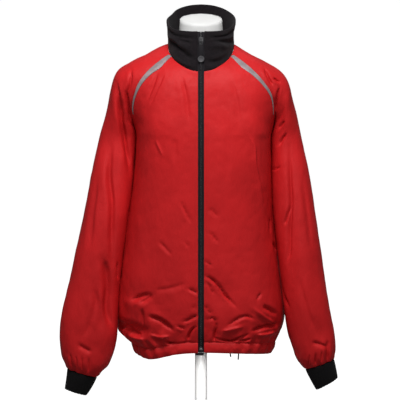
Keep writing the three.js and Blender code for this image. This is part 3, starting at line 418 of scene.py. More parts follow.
@dataclass(frozen=True)
class RibKnit(Finish):
    """Ribbed knit: fine courses across the ribs."""

    course: float = 1.1 * MM

    def dress(self, graph: Graph) -> None:
        """Rows of loops, uneven, over the modelled ribs, with painted shade between the loops and
        painted light on their tops.
        """
        z = graph.axes()[2]
        wobble = graph.noise(9 * MM, 2) * 1.5
        loops = (z * (2 * math.pi / self.course) + wobble).sine() * 0.5 + 0.5
        fuzz = graph.noise(0.8 * MM, 3)
        height = loops * 0.6 + fuzz * 0.4
        # Painted light and shade: the colour follows the loops' height, darker between them and
        # lighter on their tops.
        colour = graph.mixed(height, shade(self.colour, 0.6), shade(self.colour, 1.5))
        graph.set(
            graph.shader,
            {
                "Base Color": colour,
                "Normal": graph.bump(height, 0.25 * MM),
                "Sheen Weight": 0.04,
                "Specular IOR Level": 0.1,
            },
        )


@dataclass(frozen=True)
class ReflectiveTape(Finish):
    """Grey reflective tape: a tight weave under fine glass beads."""

    def dress(self, graph: Graph) -> None:
        """Beads glint and the grey is slightly worn."""
        beads = graph.noise(0.5 * MM, 1)
        wear = graph.noise(14 * MM, 4).between(0.35, 0.7)
        colour = graph.mixed(wear, shade(self.colour, 0.86), shade(self.colour, 1.08))
        graph.set(
            graph.shader,
            {
                "Base Color": colour,
                "Roughness": beads * 0.25 + (self.roughness - 0.12),
                "Metallic": 0.25,
                "Normal": graph.bump(beads, 0.06 * MM),
            },
        )


@dataclass(frozen=True)
class WovenTape(Finish):
    """Black woven zip tape, with a herringbone of fine threads."""

    thread: float = 0.9 * MM

    def dress(self, graph: Graph) -> None:
        """Slanting threads that turn at each step across, with painted shade between the threads
        and painted light on their tops.
        """
        x, y, z = graph.axes()
        turn = 2 * math.pi / self.thread
        slant = (x * (turn * 0.5)).sine().size()
        threads = (z * turn + slant * 3.0).sine() * 0.5 + 0.5
        # Painted light and shade: the colour follows the threads' height, darker in the gaps and
        # lighter on the tops.
        colour = graph.mixed(threads, shade(self.colour, 0.75), shade(self.colour, 1.35))
        graph.set(
            graph.shader,
            {
                "Base Color": colour,
                "Normal": graph.bump(threads, 0.12 * MM),
                "Specular IOR Level": 0.25,
            },
        )


@dataclass(frozen=True)
class Moulded(Finish):
    """Moulded plastic, rubber or enamel: a fine skin texture, worn smoother in places."""

    grain: float = 0.6 * MM
    relief: float = 0.03 * MM
    coat: float = 0.0
    gloss: float = 0.5

    def dress(self, graph: Graph) -> None:
        """A grain in the skin, and handling marks in its gloss."""
        skin = graph.noise(self.grain, 3)
        marks = graph.noise(22 * MM, 4)
        colour = graph.mixed(marks, shade(self.colour, 0.93), shade(self.colour, 1.05))
        graph.set(
            graph.shader,
            {
                "Base Color": colour,
                "Roughness": marks * 0.14 + (self.roughness - 0.07),
                "Coat Weight": self.coat,
                "Specular IOR Level": self.gloss,
                "Coat Roughness": 0.15,
                "Normal": graph.bump(skin, self.relief),
            },
        )


@dataclass(frozen=True)
class BraidedCord(Finish):
    """Round braided cord: strands that cross in a fine lattice."""

    strand: float = 1.6 * MM

    def dress(self, graph: Graph) -> None:
        """Two sets of slanting strands, with painted shade where they dip and painted light on
        their crowns.
        """
        x, y, z = graph.axes()
        turn = 2 * math.pi / self.strand
        one = ((z + x * 1.4 + y * 1.4) * turn).sine()
        two = ((z - x * 1.4 - y * 1.4) * turn).sine()
        height = (one * two) * 0.5 + 0.5
        # Painted light and shade: the colour follows the strands' height, darker where they dip and
        # lighter on their crowns.
        colour = graph.mixed(height, shade(self.colour, 0.6), shade(self.colour, 1.5))
        graph.set(graph.shader, {"Base Color": colour, "Normal": graph.bump(height, 0.3 * MM)})


SHELL = WovenShell("shell_cloth_finish", "shell_fabric", (0.53, 0.0125, 0.0145), 0.55)
SHELL_THREAD = Moulded("shell_thread_finish", "shell_fabric", (0.36, 0.008, 0.01), 0.6)
FLEECE = BrushedFleece("fleece_finish", "fleece", (0.0092, 0.0066, 0.0082), 0.95)
FLEECE_THREAD = Moulded("fleece_thread_finish", "fleece", (0.006, 0.005, 0.006), 0.7, gloss=0.3)
KNIT = RibKnit("rib_knit_finish", "rib_knit", (0.0058, 0.0052, 0.0055), 0.95)
REFLECTIVE = ReflectiveTape("reflective_finish", "reflective_tape", (0.262, 0.214, 0.222), 0.6)
TAPE = WovenTape("zip_tape_finish", "zip_tape", (0.0115, 0.0095, 0.0125), 0.8)
CHAIN = Moulded("zip_chain_finish", "zip_tape", (0.0085, 0.0075, 0.0095), 0.6)
PLASTIC = Moulded("zip_plastic_finish", "zip_plastic", (0.012, 0.012, 0.014), 0.45)
ENAMEL = Moulded("slider_enamel_finish", "slider_metal", (0.022, 0.021, 0.024), 0.35, coat=0.4)
RUBBER = Moulded("pull_rubber_finish", "pull_rubber", (0.01, 0.0085, 0.0105), 0.75, gloss=0.2)
BUTTON = Moulded("button_finish", "button_plastic", (0.062, 0.06, 0.064), 0.55, gloss=0.3)
TACK_THREAD = Moulded("tack_thread_finish", "zip_tape", (0.3, 0.29, 0.29), 0.7)
CORD = BraidedCord("drawcord_finish", "drawcord", (0.011, 0.011, 0.012), 0.85)
GLOSS = Moulded(
    "form_gloss_finish", "form_gloss", (0.63, 0.63, 0.62), 0.6, 2 * MM, 0.02 * MM, coat=0.05
)
WHITE = Moulded("stand_white_finish", "stand_white", (0.78, 0.78, 0.77), 0.35, coat=0.3)


# --- meshes ----------------------------------------------------------------------------------


def as_object(name: str, mesh: bpy.types.Mesh) -> bpy.types.Object:
    """Links a mesh into the scene as an object at the origin."""
    piece = bpy.data.objects.new(name, mesh)
    bpy.context.scene.collection.objects.link(piece)
    return piece


def from_bmesh(name: str, shape: bmesh.types.BMesh) -> bpy.types.Object:
    """Makes an object of a bmesh, which is freed."""
    mesh = bpy.data.meshes.new(name)
    shape.to_mesh(mesh)
    shape.free()
    return as_object(name, mesh)


def settle(piece: bpy.types.Object) -> None:
    """Applies the modifiers of a piece."""
    bpy.context.view_layer.update()
    graph = bpy.context.evaluated_depsgraph_get()
    fine = bpy.data.meshes.new_from_object(piece.evaluated_get(graph), depsgraph=graph)
    rough = piece.data
    piece.modifiers.clear()
    piece.data = fine
    bpy.data.meshes.remove(rough)


def rounded(piece: bpy.types.Object, level: int, corners: str = "PRESERVE_CORNERS") -> None:
    """Smooths a piece by subdivision and applies it."""
    modifier = piece.modifiers.new("round", "SUBSURF")
    modifier.levels = modifier.render_levels = level
    modifier.boundary_smooth = corners
    settle(piece)


def rounded_through(piece: bpy.types.Object, level: int, rounds: int = 4) -> None:
    """Smooths a piece by subdivision so that it still passes through its own points.

    Args:
        piece: The piece.
        level: How often it is subdivided.
        rounds: How often its points move out by what the smoothing took off them.
    """
    known = vertex_places(piece.data)
    places = known.copy()
    modifier = piece.modifiers.new("round", "SUBSURF")
    modifier.levels = 1
    modifier.boundary_smooth = "PRESERVE_CORNERS"
    for _ in range(rounds):
        bpy.context.view_layer.update()
        graph = bpy.context.evaluated_depsgraph_get()
        places += 0.85 * (known - vertex_places(piece.evaluated_get(graph).data)[: len(known)])
        piece.data.vertices.foreach_set("co", places.ravel())
        piece.data.update()
    modifier.levels = modifier.render_levels = level
    settle(piece)


def smooth_shading(piece: bpy.types.Object, angle: float = 50) -> None:
    """Smooth shading, broken at edges sharper than an angle in degrees."""
    piece.data.shade_smooth()
    piece.data.set_sharp_from_angle(angle=math.radians(angle))


def node_shape(node: str) -> bmesh.types.BMesh:
    """A merged copy of a CAD node's mesh."""
    shape = bmesh.new()
    shape.from_mesh(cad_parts[node].data)
    bmesh.ops.remove_doubles(shape, verts=shape.verts, dist=DOUBLES)
    return shape


def surface_tree(piece: bpy.types.Object) -> BVHTree:
    """A tree of a piece's faces for finding the nearest place on it."""
    return BVHTree.FromObject(piece, bpy.context.evaluated_depsgraph_get())


def vertex_places(mesh: bpy.types.Mesh) -> np.ndarray:
    """The places of a mesh's vertices, one per row."""
    flat = np.empty(len(mesh.vertices) * 3)
    mesh.vertices.foreach_get("co", flat)
    return flat.reshape(-1, 3)


def vertex_normals(mesh: bpy.types.Mesh) -> np.ndarray:
    """The normals of a mesh's vertices, one per row."""
    flat = np.empty(len(mesh.vertices) * 3)
    mesh.vertex_normals.foreach_get("vector", flat)
    return flat.reshape(-1, 3)


def ease(value: np.ndarray, low: float, high: float) -> np.ndarray:
    """A smooth 0 to 1 as the value goes from low to high."""
    share = np.clip((value - low) / (high - low), 0, 1)
    return share * share * (3 - 2 * share)


def smooth_line(points: Sequence[Place], count: int = 26) -> np.ndarray:
    """A smooth line through a few places.

    Args:
        points: The places it goes through.
        count: How many places are given back.

    Returns:
        Evenly numbered places on the line, one per row.
    """
    known = np.array(points, float)
    padded = np.vstack([2 * known[0] - known[1], known, 2 * known[-1] - known[-2]])
    line = []
    for share in np.linspace(0, len(known) - 1 - 1e-9, count):
        i, t = int(share), share - int(share)
        a, b, c, d = padded[i : i + 4]
        line.append(
            b + 0.5 * t * (c - a + t * (2 * a - 5 * b + 4 * c - d + t * (3 * (b - c) + d - a)))
        )
    return np.array(line)


@dataclass
class Piece:
    name: str
    finish: Finish
    nodes: tuple[str, ...] = ()
    body: str = JACKET

    def hand_over(self, shape: bpy.types.Object) -> bpy.types.Object:
        """Dresses a shape, rides it on its body and hides the nodes it stands for.

        Args:
            shape: The piece's object.

        Returns:
            The same object.
        """
        shape.data.materials.clear()
        shape.data.materials.append(self.finish.material())
        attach(shape, self.body)
        if self.nodes:
            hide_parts(*self.nodes)
        LOG.info("%s: %d faces", self.name, len(getattr(shape.data, "polygons", ())))
        return shape


@dataclass
class HardPart(Piece):
    """A rigid part carried over from its node, with its edges rounded."""

    edge: float = 0.3 * MM
    segments: int = 3
    flat_angle: float = 3

    def build(self) -> bpy.types.Object:
        """Copies the node, joins its flat faces and rounds its edges."""
        shape = node_shape(self.nodes[0])
        bmesh.ops.dissolve_limit(
            shape, angle_limit=math.radians(self.flat_angle), verts=shape.verts, edges=shape.edges
        )
        sharp = [e for e in shape.edges if len(e.link_faces) == 2 and e.calc_face_angle() > 0.6]
        bmesh.ops.bevel(
            shape,
            geom=sharp,
            offset=self.edge,
            segments=self.segments,
            profile=0.5,
            affect="EDGES",
            material=-1,
            clamp_overlap=True,
        )
        part = from_bmesh(self.name, shape)
        smooth_shading(part, 35)
        return self.hand_over(part)


# --- folds -----------------------------------------------------------------------------------


@dataclass(frozen=True)
class Fold:
    """A crease or ridge along a line of picture places.

    rise is in millimetres, below 0 for a trough; width is in picture units; lean, from -1 to
    1, makes the left side of the line steep and the other soft, or the other way; lip is the
    share of the rise that turns the other way on the soft side.
    """

    line: tuple[Place, ...]
    rise: float
    width: float
    lean: float = 0.5
    lip: float = 0.18

    def lift(self, places: np.ndarray) -> np.ndarray:
        """How far the fold lifts each picture place, in metres."""
        line = smooth_line(self.line)
        margin = 5 * self.width
        low, high = line.min(0) - margin, line.max(0) + margin
        near = np.flatnonzero(((places > low) & (places < high)).all(1))
        total = np.zeros(len(places))
        if not len(near):
            return total
        start, step = line[:-1], np.diff(line, axis=0)
        offset = places[near][:, None] - start
        share = np.clip((offset * step).sum(-1) / (step * step).sum(-1), 0, 1)
        gaps = np.linalg.norm(offset - share[..., None] * step, axis=-1)
        row = np.arange(len(near))
        best = gaps.argmin(1)
        away = offset[row, best]
        across = step[best, 0] * away[:, 1] - step[best, 1] * away[:, 0]
        gap = np.copysign(gaps[row, best], across) / (FOLD_NARROW * self.width)
        gap /= 1 + 0.7 * self.lean * np.sign(gap)
        along = (best + share[row, best]) / len(step)
        fade = ease(along, -0.08, 0.3) * ease(1 - along, -0.08, 0.3)
        soft = gap * (1 if self.lean >= 0 else -1)
        shape = np.exp(-(gap**2)) - self.lip * np.exp(-(((soft - 2) / 1.1) ** 2))
        total[near] = self.rise * MM * fade * shape
        return total


@dataclass(frozen=True)
class Crumple:
    """Uneven waves of one size over a whole piece.

    size and rise are in millimetres; tall stretches the waves up and down; low and high are
    the heights in metres between which they grow from none to full.
    """

    size: float
    rise: float
    tall: float = 1.0
    low: float = -2.0
    high: float = -1.0
    ridged: float = 0.0
    seed: float = 0.0

    def lift(self, points: np.ndarray) -> np.ndarray:
        """How far the waves lift each point, in metres."""
        scaled = points / (self.size * MM) / np.array([1, 1, self.tall]) + self.seed
        raw = np.array([noise.noise(Vector(p)) for p in scaled])
        wave = (1 - self.ridged) * raw + self.ridged * (0.35 - 1.6 * np.abs(raw))
        if self.low > self.high:
            strength = 1 - ease(points[:, 2], self.high, self.low)
        else:
            strength = ease(points[:, 2], self.low, self.high)
        return self.rise * MM * wave * strength


FOLD_NARROW = 0.68  # the folds' widths were read as dark bands, wider than the creases in them

FRONT_FOLDS = {
    "sleeve_right": (
        Fold(((116, 82), (119, 98), (122.5, 120), (127, 144), (129.5, 157), (131, 173)), -5, 3),
        Fold(((125.5, 92), (129.5, 110), (132, 121)), -5, 2.2),
        Fold(((111.5, 147), (110, 176), (112.7, 202), (112.7, 229), (112, 266)), -4.5, 3.6),
        Fold(
            ((104, 260), (107, 269), (108.7, 287), (108, 305), (110, 318), (113.5, 327)), -5.5, 4.6
        ),
        Fold(((94, 285), (100, 312), (103, 330)), -2.4, 5),
        Fold(((78, 344), (85, 348.5), (92, 352)), -2.6, 3, 0.5, 0),
        Fold(((131.4, 69.5), (130.5, 83), (127, 94), (129, 104)), -3, 2),
        Fold(((117, 262), (118, 280)), -2.5, 1.4),
        Fold(((70, 353), (72.5, 367)), -1.5, 1.3),
        Fold(((76, 355), (77.5, 368)), -1.2, 1.2),
        Fold(((82, 357), (82.5, 370)), -1.2, 1.3),
        Fold(((89, 358), (88.5, 372)), -1.2, 1.3),
        Fold(((97, 180), (93, 214), (90, 250)), -1.8, 4),
        Fold(((99, 290), (92, 320), (84, 338)), -1.6, 3.5),
    ),
    "front_right": (
        Fold(((158, 72), (153, 86), (148, 100)), -1.6, 2.2),
        Fold(((164, 75), (157, 90), (150, 106)), -1.4, 1.6),
        Fold(((182, 76), (187, 98), (189.5, 125)), -1.6, 3),
        Fold(((175, 138), (176.5, 160)), -1.2, 4),
        Fold(((156, 140), (163, 156)), 1.2, 1.6),
        Fold(((181, 201), (186, 213), (192, 224)), -1.8, 1.6),
        Fold(((159, 241), (172, 255)), -1.2, 2),
        Fold(((185, 240), (190, 250.5)), -1.4, 1.5),
        Fold(((131, 301), (140, 296), (152, 294)), -3, 3),
        Fold(((116, 322), (130, 328), (148, 332)), -6.5, 11, 0.6, 0.1),
        Fold(((122, 300), (134, 303), (148, 306)), 2.2, 8),
        Fold(((188, 288), (193, 291), (198, 294)), -3, 1.6),
        Fold(((194, 302), (194.5, 311)), -2.2, 1.5),
        Fold(((183, 322), (190, 319), (198, 314.5)), -3.4, 1.8),
        Fold(((148, 317), (160, 321), (173, 331)), -5.5, 2.4, -0.5),
        Fold(((176, 325), (184, 329)), -2.6, 1.4),
        Fold(((197, 325), (190.5, 333), (188, 341)), -4, 1.7),
        Fold(((165, 342), (178, 344.5), (190, 342)), -6, 2.4),
        Fold(((142, 309), (142, 327)), -3, 2.3),
        Fold(((122, 324), (129, 331), (139, 336)), -4, 2.6),
        Fold(((129, 336), (136, 338.5), (144, 340)), 2.6, 2.3),
        Fold(((139, 304), (152, 295)), -2.4, 2.6),
        Fold(((122, 246), (121, 263), (120, 280)), -3.4, 1.4),
        Fold(((150, 335), (160, 337), (170, 336)), 2.4, 2.4),
        Fold(((155, 290), (170, 288), (186, 283)), -1.2, 3),
    ),
    "front_left": (
        Fold(
            ((249, 134.6), (254.8, 147), (255.5, 163), (259, 182), (262.5, 202), (268, 217.5)),
            2,
            2.2,
        ),
        Fold(((270.5, 218), (271.4, 234)), -1.8, 1.6),
        Fold(((274, 242), (277, 250)), -2.2, 1.5),
        Fold(((210, 208), (218, 217)), -1.2, 2.6),
        Fold(((210, 232), (218, 243)), -1.8, 1.7),
        Fold(((205, 260), (211.5, 266.5)), -2.2, 1.4),
        Fold(((205.4, 274.6), (212, 279.5), (218, 285), (226, 296), (238, 308.5)), -4.6, 1.7),
        Fold(((207, 281), (215, 297)), -2.2, 1.4),
        Fold(((205, 304), (211, 315)), -2.4, 1.6),
        Fold(((256.5, 299.5), (261, 293)), -2, 1.4),
        Fold(((263, 306), (270, 309), (278, 314)), -4.5, 3),
        Fold(((252, 307), (264.6, 317), (276, 323.5)), 2.2, 2.8),
        Fold(((227, 326), (239, 318), (247, 316), (255, 319)), -3, 1.8),
        Fold(((252, 330.5), (264.6, 326), (279, 324)), -5, 2.1),
        Fold(((216, 338), (229.6, 341), (238, 338.5), (248, 334)), -4.6, 1.7),
        Fold(((239, 341), (251, 338.6)), -3, 1.5),
        Fold(((206, 320), (213.5, 318), (216.5, 326), (214.6, 337), (215, 341)), -3.4, 1.7),
        Fold(((222, 331), (231, 329), (243, 326)), 2.6, 2.6),
        Fold(((256, 335), (266, 334), (276, 331)), 2.6, 2.4),
        Fold(((232, 80), (238, 104), (240, 128)), -1.2, 4),
        Fold(((226, 110), (229, 150), (225, 190)), -0.9, 5),
    ),
    "sleeve_left": (
        Fold(((265, 68), (269.6, 78), (273, 84.6)), -3, 1.9),
        Fold(((274, 77.5), (281, 82.5)), -3, 1.6),
        Fold(((280.4, 87), (278, 98), (275, 114)), -3, 1.9),
        Fold(((284.5, 121), (280, 129)), -2.4, 1.7),
        Fold(((287, 133.5), (279, 145.5)), -2.8, 1.8),
        Fold(((290, 144.5), (291, 180), (292, 202), (290.6, 229), (290, 251), (288, 261)), -3, 2.6),
        Fold(((291, 206), (287.5, 217.5), (285, 225)), -2.4, 1.9),
        Fold(((279, 276), (281, 290), (289, 308)), -3.2, 2.6),
        Fold(((272, 170), (281, 167)), -1.4, 1.4),
        Fold(((312, 342), (320, 344), (327.5, 347)), -2.6, 2.8, 0.5, 0),
        Fold(((310, 354), (309, 366)), -1.3, 1.2),
        Fold(((316, 353), (315.5, 364)), -1.3, 1.2),
        Fold(((322, 351), (321.5, 362)), -1.3, 1.2),
        Fold(((328, 340), (328, 361)), -2.6, 2.6),
        Fold(((303, 180), (308, 215), (312, 250)), -1.8, 4),
        Fold(((300, 280), (308, 310), (316, 332)), -1.6, 3.5),
    ),
}

COLLAR_FOLDS = (
    Fold(((167.5, 29), (175, 35.5), (186, 38), (199, 37.6)), -2.4, 1.8),
    Fold(((203, 37.4), (216, 37), (228, 35), (235, 29)), -2.4, 1.8),
    Fold(((167, 38), (179, 48.5), (186.5, 56.4), (195, 60)), -4, 3.2, -0.5),
    Fold(((169, 35), (176, 41), (184, 50)), 2.6, 3),
    Fold(((177, 39), (184, 41.5), (192, 43)), -3, 2.6),
    Fold(((236.5, 41.5), (227, 42.5), (212, 41)), -2.4, 3, 0.5),
    Fold(((208, 46), (218, 45), (229, 46)), 2.6, 3.6),
    Fold(((204, 60), (212, 62), (221, 60), (230, 54)), -3.5, 3.4),
    Fold(((176, 57), (184, 63), (194, 66)), 2.2, 3),
)

# Folds of the back, in the same picture places seen through the body
BACK_FOLDS = {
    "back": (
        Fold(((150, 110), (160, 140), (164, 178)), -3, 3),
        Fold(((252, 108), (243, 140), (239, 180)), -3, 3),
        Fold(((140, 150), (146, 190), (142, 236)), 2.4, 4),
        Fold(((262, 152), (256, 194), (262, 240)), 2.4, 4),
        Fold(((188, 200), (184, 244), (190, 284)), 2.6, 4.5),
        Fold(((226, 214), (230, 252), (222, 286)), -2.8, 4),
        Fold(((150, 268), (166, 286), (184, 296)), -4, 2.6),
        Fold(((258, 276), (240, 292), (222, 300)), -4, 2.6),
        Fold(((140, 300), (154, 312), (172, 316)), -4, 2.2),
        Fold(((200, 306), (214, 314), (232, 312)), -4, 2.2),
        Fold(((244, 318), (258, 312), (270, 302)), -4, 2.4),
        Fold(((160, 326), (178, 322), (194, 328)), -3.5, 1.9),
        Fold(((236, 330), (252, 326), (264, 330)), -3.5, 1.9),
    ),
    "sleeve_right": (
        Fold(((130, 100), (122, 150), (112, 200)), -4, 3),
        Fold(((108, 150), (104, 200), (100, 250)), 2.4, 4),
        Fold(((118, 210), (104, 224), (92, 228)), -4, 2.6),
        Fold(((110, 240), (98, 252), (88, 254)), -3.5, 2.4),
        Fold(((96, 280), (90, 310), (84, 338)), -3, 3),
        Fold(((104, 310), (94, 330), (88, 350)), -2.6, 2.4),
    ),
    "sleeve_left": (
        Fold(((272, 100), (280, 150), (290, 196)), -4, 3),
        Fold(((294, 150), (298, 200), (304, 250)), 2.4, 4),
        Fold(((284, 206), (298, 222), (310, 224)), -4, 2.6),
        Fold(((290, 238), (302, 250), (314, 252)), -3.5, 2.4),
        Fold(((304, 280), (310, 306), (318, 332)), -3, 3),
        Fold(((298, 306), (306, 326), (314, 346)), -2.6, 2.4),
    ),
}

BODY_CRUMPLES = (
    Crumple(120, 2.2, 1.5),
    Crumple(46, 1.3, 1.6, ridged=0.5, seed=3.1),
    Crumple(34, 3.4, 1.1, low=0.31, high=0.2, ridged=0.4, seed=7.7),
    Crumple(14, 0.7, 1.2, ridged=0.3, seed=12.3),
)
SLEEVE_CRUMPLES = (
    Crumple(90, 2.4, 2.6, seed=5.5),
    Crumple(38, 1.5, 2.4, ridged=0.5, seed=1.9),
    Crumple(20, 2.2, 1.6, low=0.24, high=0.14, ridged=0.3, seed=9.2),
    Crumple(13, 0.6, 1.6, ridged=0.3, seed=15.3),
)


# --- cloth pieces ----------------------------------------------------------------------------


@dataclass
class ClothPiece(Piece):
    """A cut piece of cloth, remade finely from the outer face of its packed wall.

    packed_wall is the wall of the node and wall the one that is made. inside is a place inside
    the garment. flat is the cut's width and length, and area its flat area. fold_depth makes
    the listed folds deeper. press is the height, reach and rise, in millimetres, of a swell on
    the side that faces the garment's middle. allowance is how far the cloth turns in at its
    seams, tuck_up how far its top edge reaches up behind the piece above, and tuck_down how
    far a piece without an allowance reaches down behind the piece below.
    """

    inside: tuple[float, float, float] = (0, 0, 0.45)
    packed_wall: float = 1.6 * MM
    wall: float = 1.1 * MM
    flat: Place = (1, 1)
    area: Optional[float] = None
    held: Held = Held.HUNG
    rests_on: tuple[str, ...] = ("dress_form",)
    level: int = 3
    crumples: tuple[Crumple, ...] = ()
    front_folds: tuple[Fold, ...] = ()
    back_folds: tuple[Fold, ...] = ()
    seam_sink: float = 0.7 * MM
    pucker: float = 0.5 * MM
    fold_depth: float = 1.9
    press: tuple[float, float, float] = (0, 1, 0)
    allowance: float = 2.6 * MM
    tuck_up: float = 0.0
    tuck_down: float = 0.0
    softened: int = 0

    def outer_face(self) -> bmesh.types.BMesh:
        """The outer face of the node's wall, in four-sided faces where they pair up."""
        shape = node_shape(self.nodes[0])
        short = [e for e in shape.edges if e.calc_length() < 1.3 * self.packed_wall]
        rims = list({face for edge in short for face in edge.link_faces})
        bmesh.ops.delete(shape, geom=rims, context="FACES_ONLY")
        middle = Vector(self.inside)
        seen: set[int] = set()
        shape.faces.ensure_lookup_table()
        inner: list[bmesh.types.BMFace] = []
        for first in shape.faces:
            if first.index in seen:
                continue
            seen.add(first.index)
            island, queue, facing = [], [first], 0.0
            while queue:
                face = queue.pop()
                island.append(face)
                centre = face.calc_center_median()
                facing += face.calc_area() * face.normal.dot(centre - middle)
                for edge in face.edges:
                    for other in edge.link_faces:
                        if other.index not in seen:
                            seen.add(other.index)
                            queue.append(other)
            if facing < 0:
                inner += island
        bmesh.ops.delete(shape, geom=inner, context="FACES")
        loose = [v for v in shape.verts if not v.link_faces]
        bmesh.ops.delete(shape, geom=loose, context="VERTS")
        bmesh.ops.join_triangles(
            shape, faces=shape.faces, angle_face_threshold=1.0, angle_shape_threshold=3.1
        )
        return shape

    def drape(self, mesh: bpy.types.Mesh) -> None:
        """Moves the sheet's points by the folds, the crumples and the pull of its seams."""
        points, normals = vertex_places(mesh), vertex_normals(mesh)
        places = VIEW.picture_places(points)
        seam = self.seam_distance(mesh, points)
        lift = np.zeros(len(points))
        front = ease(-normals[:, 1], 0.02, 0.3)
        for fold in self.front_folds:
            lift += self.fold_depth * fold.lift(places) * front
        back = ease(normals[:, 1], 0.02, 0.3)
        for fold in self.back_folds:
            lift += self.fold_depth * fold.lift(places) * back
        height, reach, rise = self.press
        inward = ease(-np.sign(points[:, 0]) * normals[:, 0], 0.4, 0.8)
        lift += rise * MM * inward * np.exp(-(((points[:, 2] / MM - height) / reach) ** 2))
        free = ease(seam, 0, 14 * MM)
        for crumple in self.crumples:
            lift += crumple.lift(points) * free
        ripple = Crumple(8, 1, 1, seed=21.0).lift(points) / MM
        lift += self.pucker * ripple * np.exp(-seam / (9 * MM))
        lift *= ease(seam, -1 * MM, 5 * MM)
        lift -= self.seam_sink * np.exp(-((seam / (2.6 * MM)) ** 2))
        level = normals * np.array([1, 1, 0.5])
        level /= np.linalg.norm(level, axis=1)[:, None]
        mesh.vertices.foreach_set("co", (points + level * lift[:, None]).ravel())
        mesh.update()

    def seam_distance(self, mesh: bpy.types.Mesh, points: np.ndarray) -> np.ndarray:
        """How far each point is from the nearest edge of the sheet."""
        uses = np.zeros(len(mesh.edges), int)
        loops = np.empty(len(mesh.loops), int)
        mesh.loops.foreach_get("edge_index", loops)
        np.add.at(uses, loops, 1)
        ends = np.empty(len(mesh.edges) * 2, int)
        mesh.edges.foreach_get("vertices", ends)
        rim = np.unique(ends.reshape(-1, 2)[uses == 1])
        tree = KDTree(len(rim))
        for i in rim:
            tree.insert(points[i], int(i))
        tree.balance()
        return np.array([tree.find(p)[2] for p in points])

    def refine(self, piece: bpy.types.Object) -> None:
        """Cuts the faces under the sharper folds once more, so that their creases stay crisp."""
        mesh = piece.data
        points, normals = vertex_places(mesh), vertex_normals(mesh)
        places = VIEW.picture_places(points)
        busy = np.zeros(len(points), bool)
        for folds, facing in ((self.front_folds, -1), (self.back_folds, 1)):
            for fold in folds:
                if fold.width < 3.2:
                    lifted = np.abs(fold.lift(places)) > 0.05 * abs(fold.rise) * MM
                    busy |= lifted & (facing * normals[:, 1] > 0)
        shape = bmesh.new()
        shape.from_mesh(mesh)
        shape.verts.ensure_lookup_table()
        edges = [e for e in shape.edges if all(busy[v.index] for v in e.verts)]
        bmesh.ops.subdivide_edges(shape, edges=edges, cuts=1, smooth=1.0, use_grid_fill=True)
        shape.to_mesh(mesh)
        shape.free()
        mesh.update()

    def keep_off(self, mesh: bpy.types.Mesh, under: BVHTree, gap: float = 0.4 * MM) -> None:
        """Lifts the sheet off what it covers, by its own wall and a gap."""
        points = vertex_places(mesh)
        for i, point in enumerate(points):
            found, normal, _, _ = under.find_nearest(Vector(point), 0.012)
            if found is None:
                continue
            short = self.wall + gap - (Vector(point) - found).dot(normal)
            if short > 0:
                points[i] += np.array(normal) * short
        mesh.vertices.foreach_set("co", points.ravel())
        mesh.update()

    def turn_in(self, mesh: bpy.types.Mesh, under: Optional[BVHTree]) -> None:
        """Turns the sheet's edges in, so that no light passes a seam.

        Args:
            mesh: The sheet.
            under: The surface that the turned edges stop short of.
        """
        shape = bmesh.new()
        shape.from_mesh(mesh)
        rim = [edge for edge in shape.edges if edge.is_boundary]
        moves: dict[bmesh.types.BMVert, Vector] = {}
        for vert in {v for edge in rim for v in edge.verts}:
            depth = self.allowance
            if under:
                met = under.ray_cast(vert.co, -vert.normal, 2 * depth)[3]
                depth = min(depth, met - 0.4 * MM) if met else depth
            inner = [e.other_vert(vert) for e in vert.link_edges if not e.is_boundary]
            is_top = bool(inner) and all(v.co.z < vert.co.z - 0.5 * MM for v in inner)
            rise = Vector((0, 0, self.tuck_up if is_top else 0))
            moves[vert] = rise - vert.normal * depth
        made = bmesh.ops.extrude_edge_only(shape, edges=rim)["geom"]
        turned = {v for v in made if isinstance(v, bmesh.types.BMVert)}
        for vert in turned:
            start = next(e.other_vert(vert) for e in vert.link_edges if e.other_vert(vert) in moves)
            vert.co = start.co + moves[start]
        shape.to_mesh(mesh)
        shape.free()
        mesh.update()

    def reach_down(self, mesh: bpy.types.Mesh) -> None:
        """Runs the bottom edge on, down and a little in, behind the piece below."""
        shape = bmesh.new()
        shape.from_mesh(mesh)

        def climbs(vert: bmesh.types.BMVert) -> bool:
            """Whether the cloth goes up from a point of its edge."""
            steps = [e.other_vert(vert).co - vert.co for e in vert.link_edges if not e.is_boundary]
            return bool(steps) and all(step.z > 0.6 * step.length for step in steps)

        rim = [e for e in shape.edges if e.is_boundary and any(climbs(v) for v in e.verts)]
        normals = {v.co.to_tuple(6): v.normal.copy() for edge in rim for v in edge.verts}
        made = bmesh.ops.extrude_edge_only(shape, edges=rim)["geom"]
        for vert in made:
            if isinstance(vert, bmesh.types.BMVert):
                vert.co -= normals[vert.co.to_tuple(6)] * MM + Vector((0, 0, self.tuck_down))
        shape.to_mesh(mesh)
        shape.free()
        mesh.update()

    def build(self, under: Optional[BVHTree] = None) -> bpy.types.Object:
        """Makes the sheet, drapes it and gives it its wall.

        Args:
            under: The surface that it has to stay clear of.

        Returns:
            The finished piece.
        """
        sheet = from_bmesh(self.name, self.outer_face())
        rounded_through(sheet, self.level)
        self.refine(sheet)
        self.drape(sheet.data)
        if under:
            self.keep_off(sheet.data, under)
        surface = sum(p.area for p in sheet.data.polygons)
        if self.allowance:
            self.turn_in(sheet.data, under)
        if self.tuck_down:
            self.reach_down(sheet.data)
        wall = sheet.modifiers.new("wall", "SOLIDIFY")
        wall.thickness, wall.offset, wall.use_rim = self.wall, -1, True
        settle(sheet)
        if self.softened:
            rounded(sheet, self.softened)
        smooth_shading(sheet, 62)
        self.hand_over(sheet)
        flat = self.flat[0] * self.flat[1]
        LOG.info("%s: surface %.4f, flat %.4f", self.name, surface, self.area or flat)
        list(self.rests_on)
        return sheet


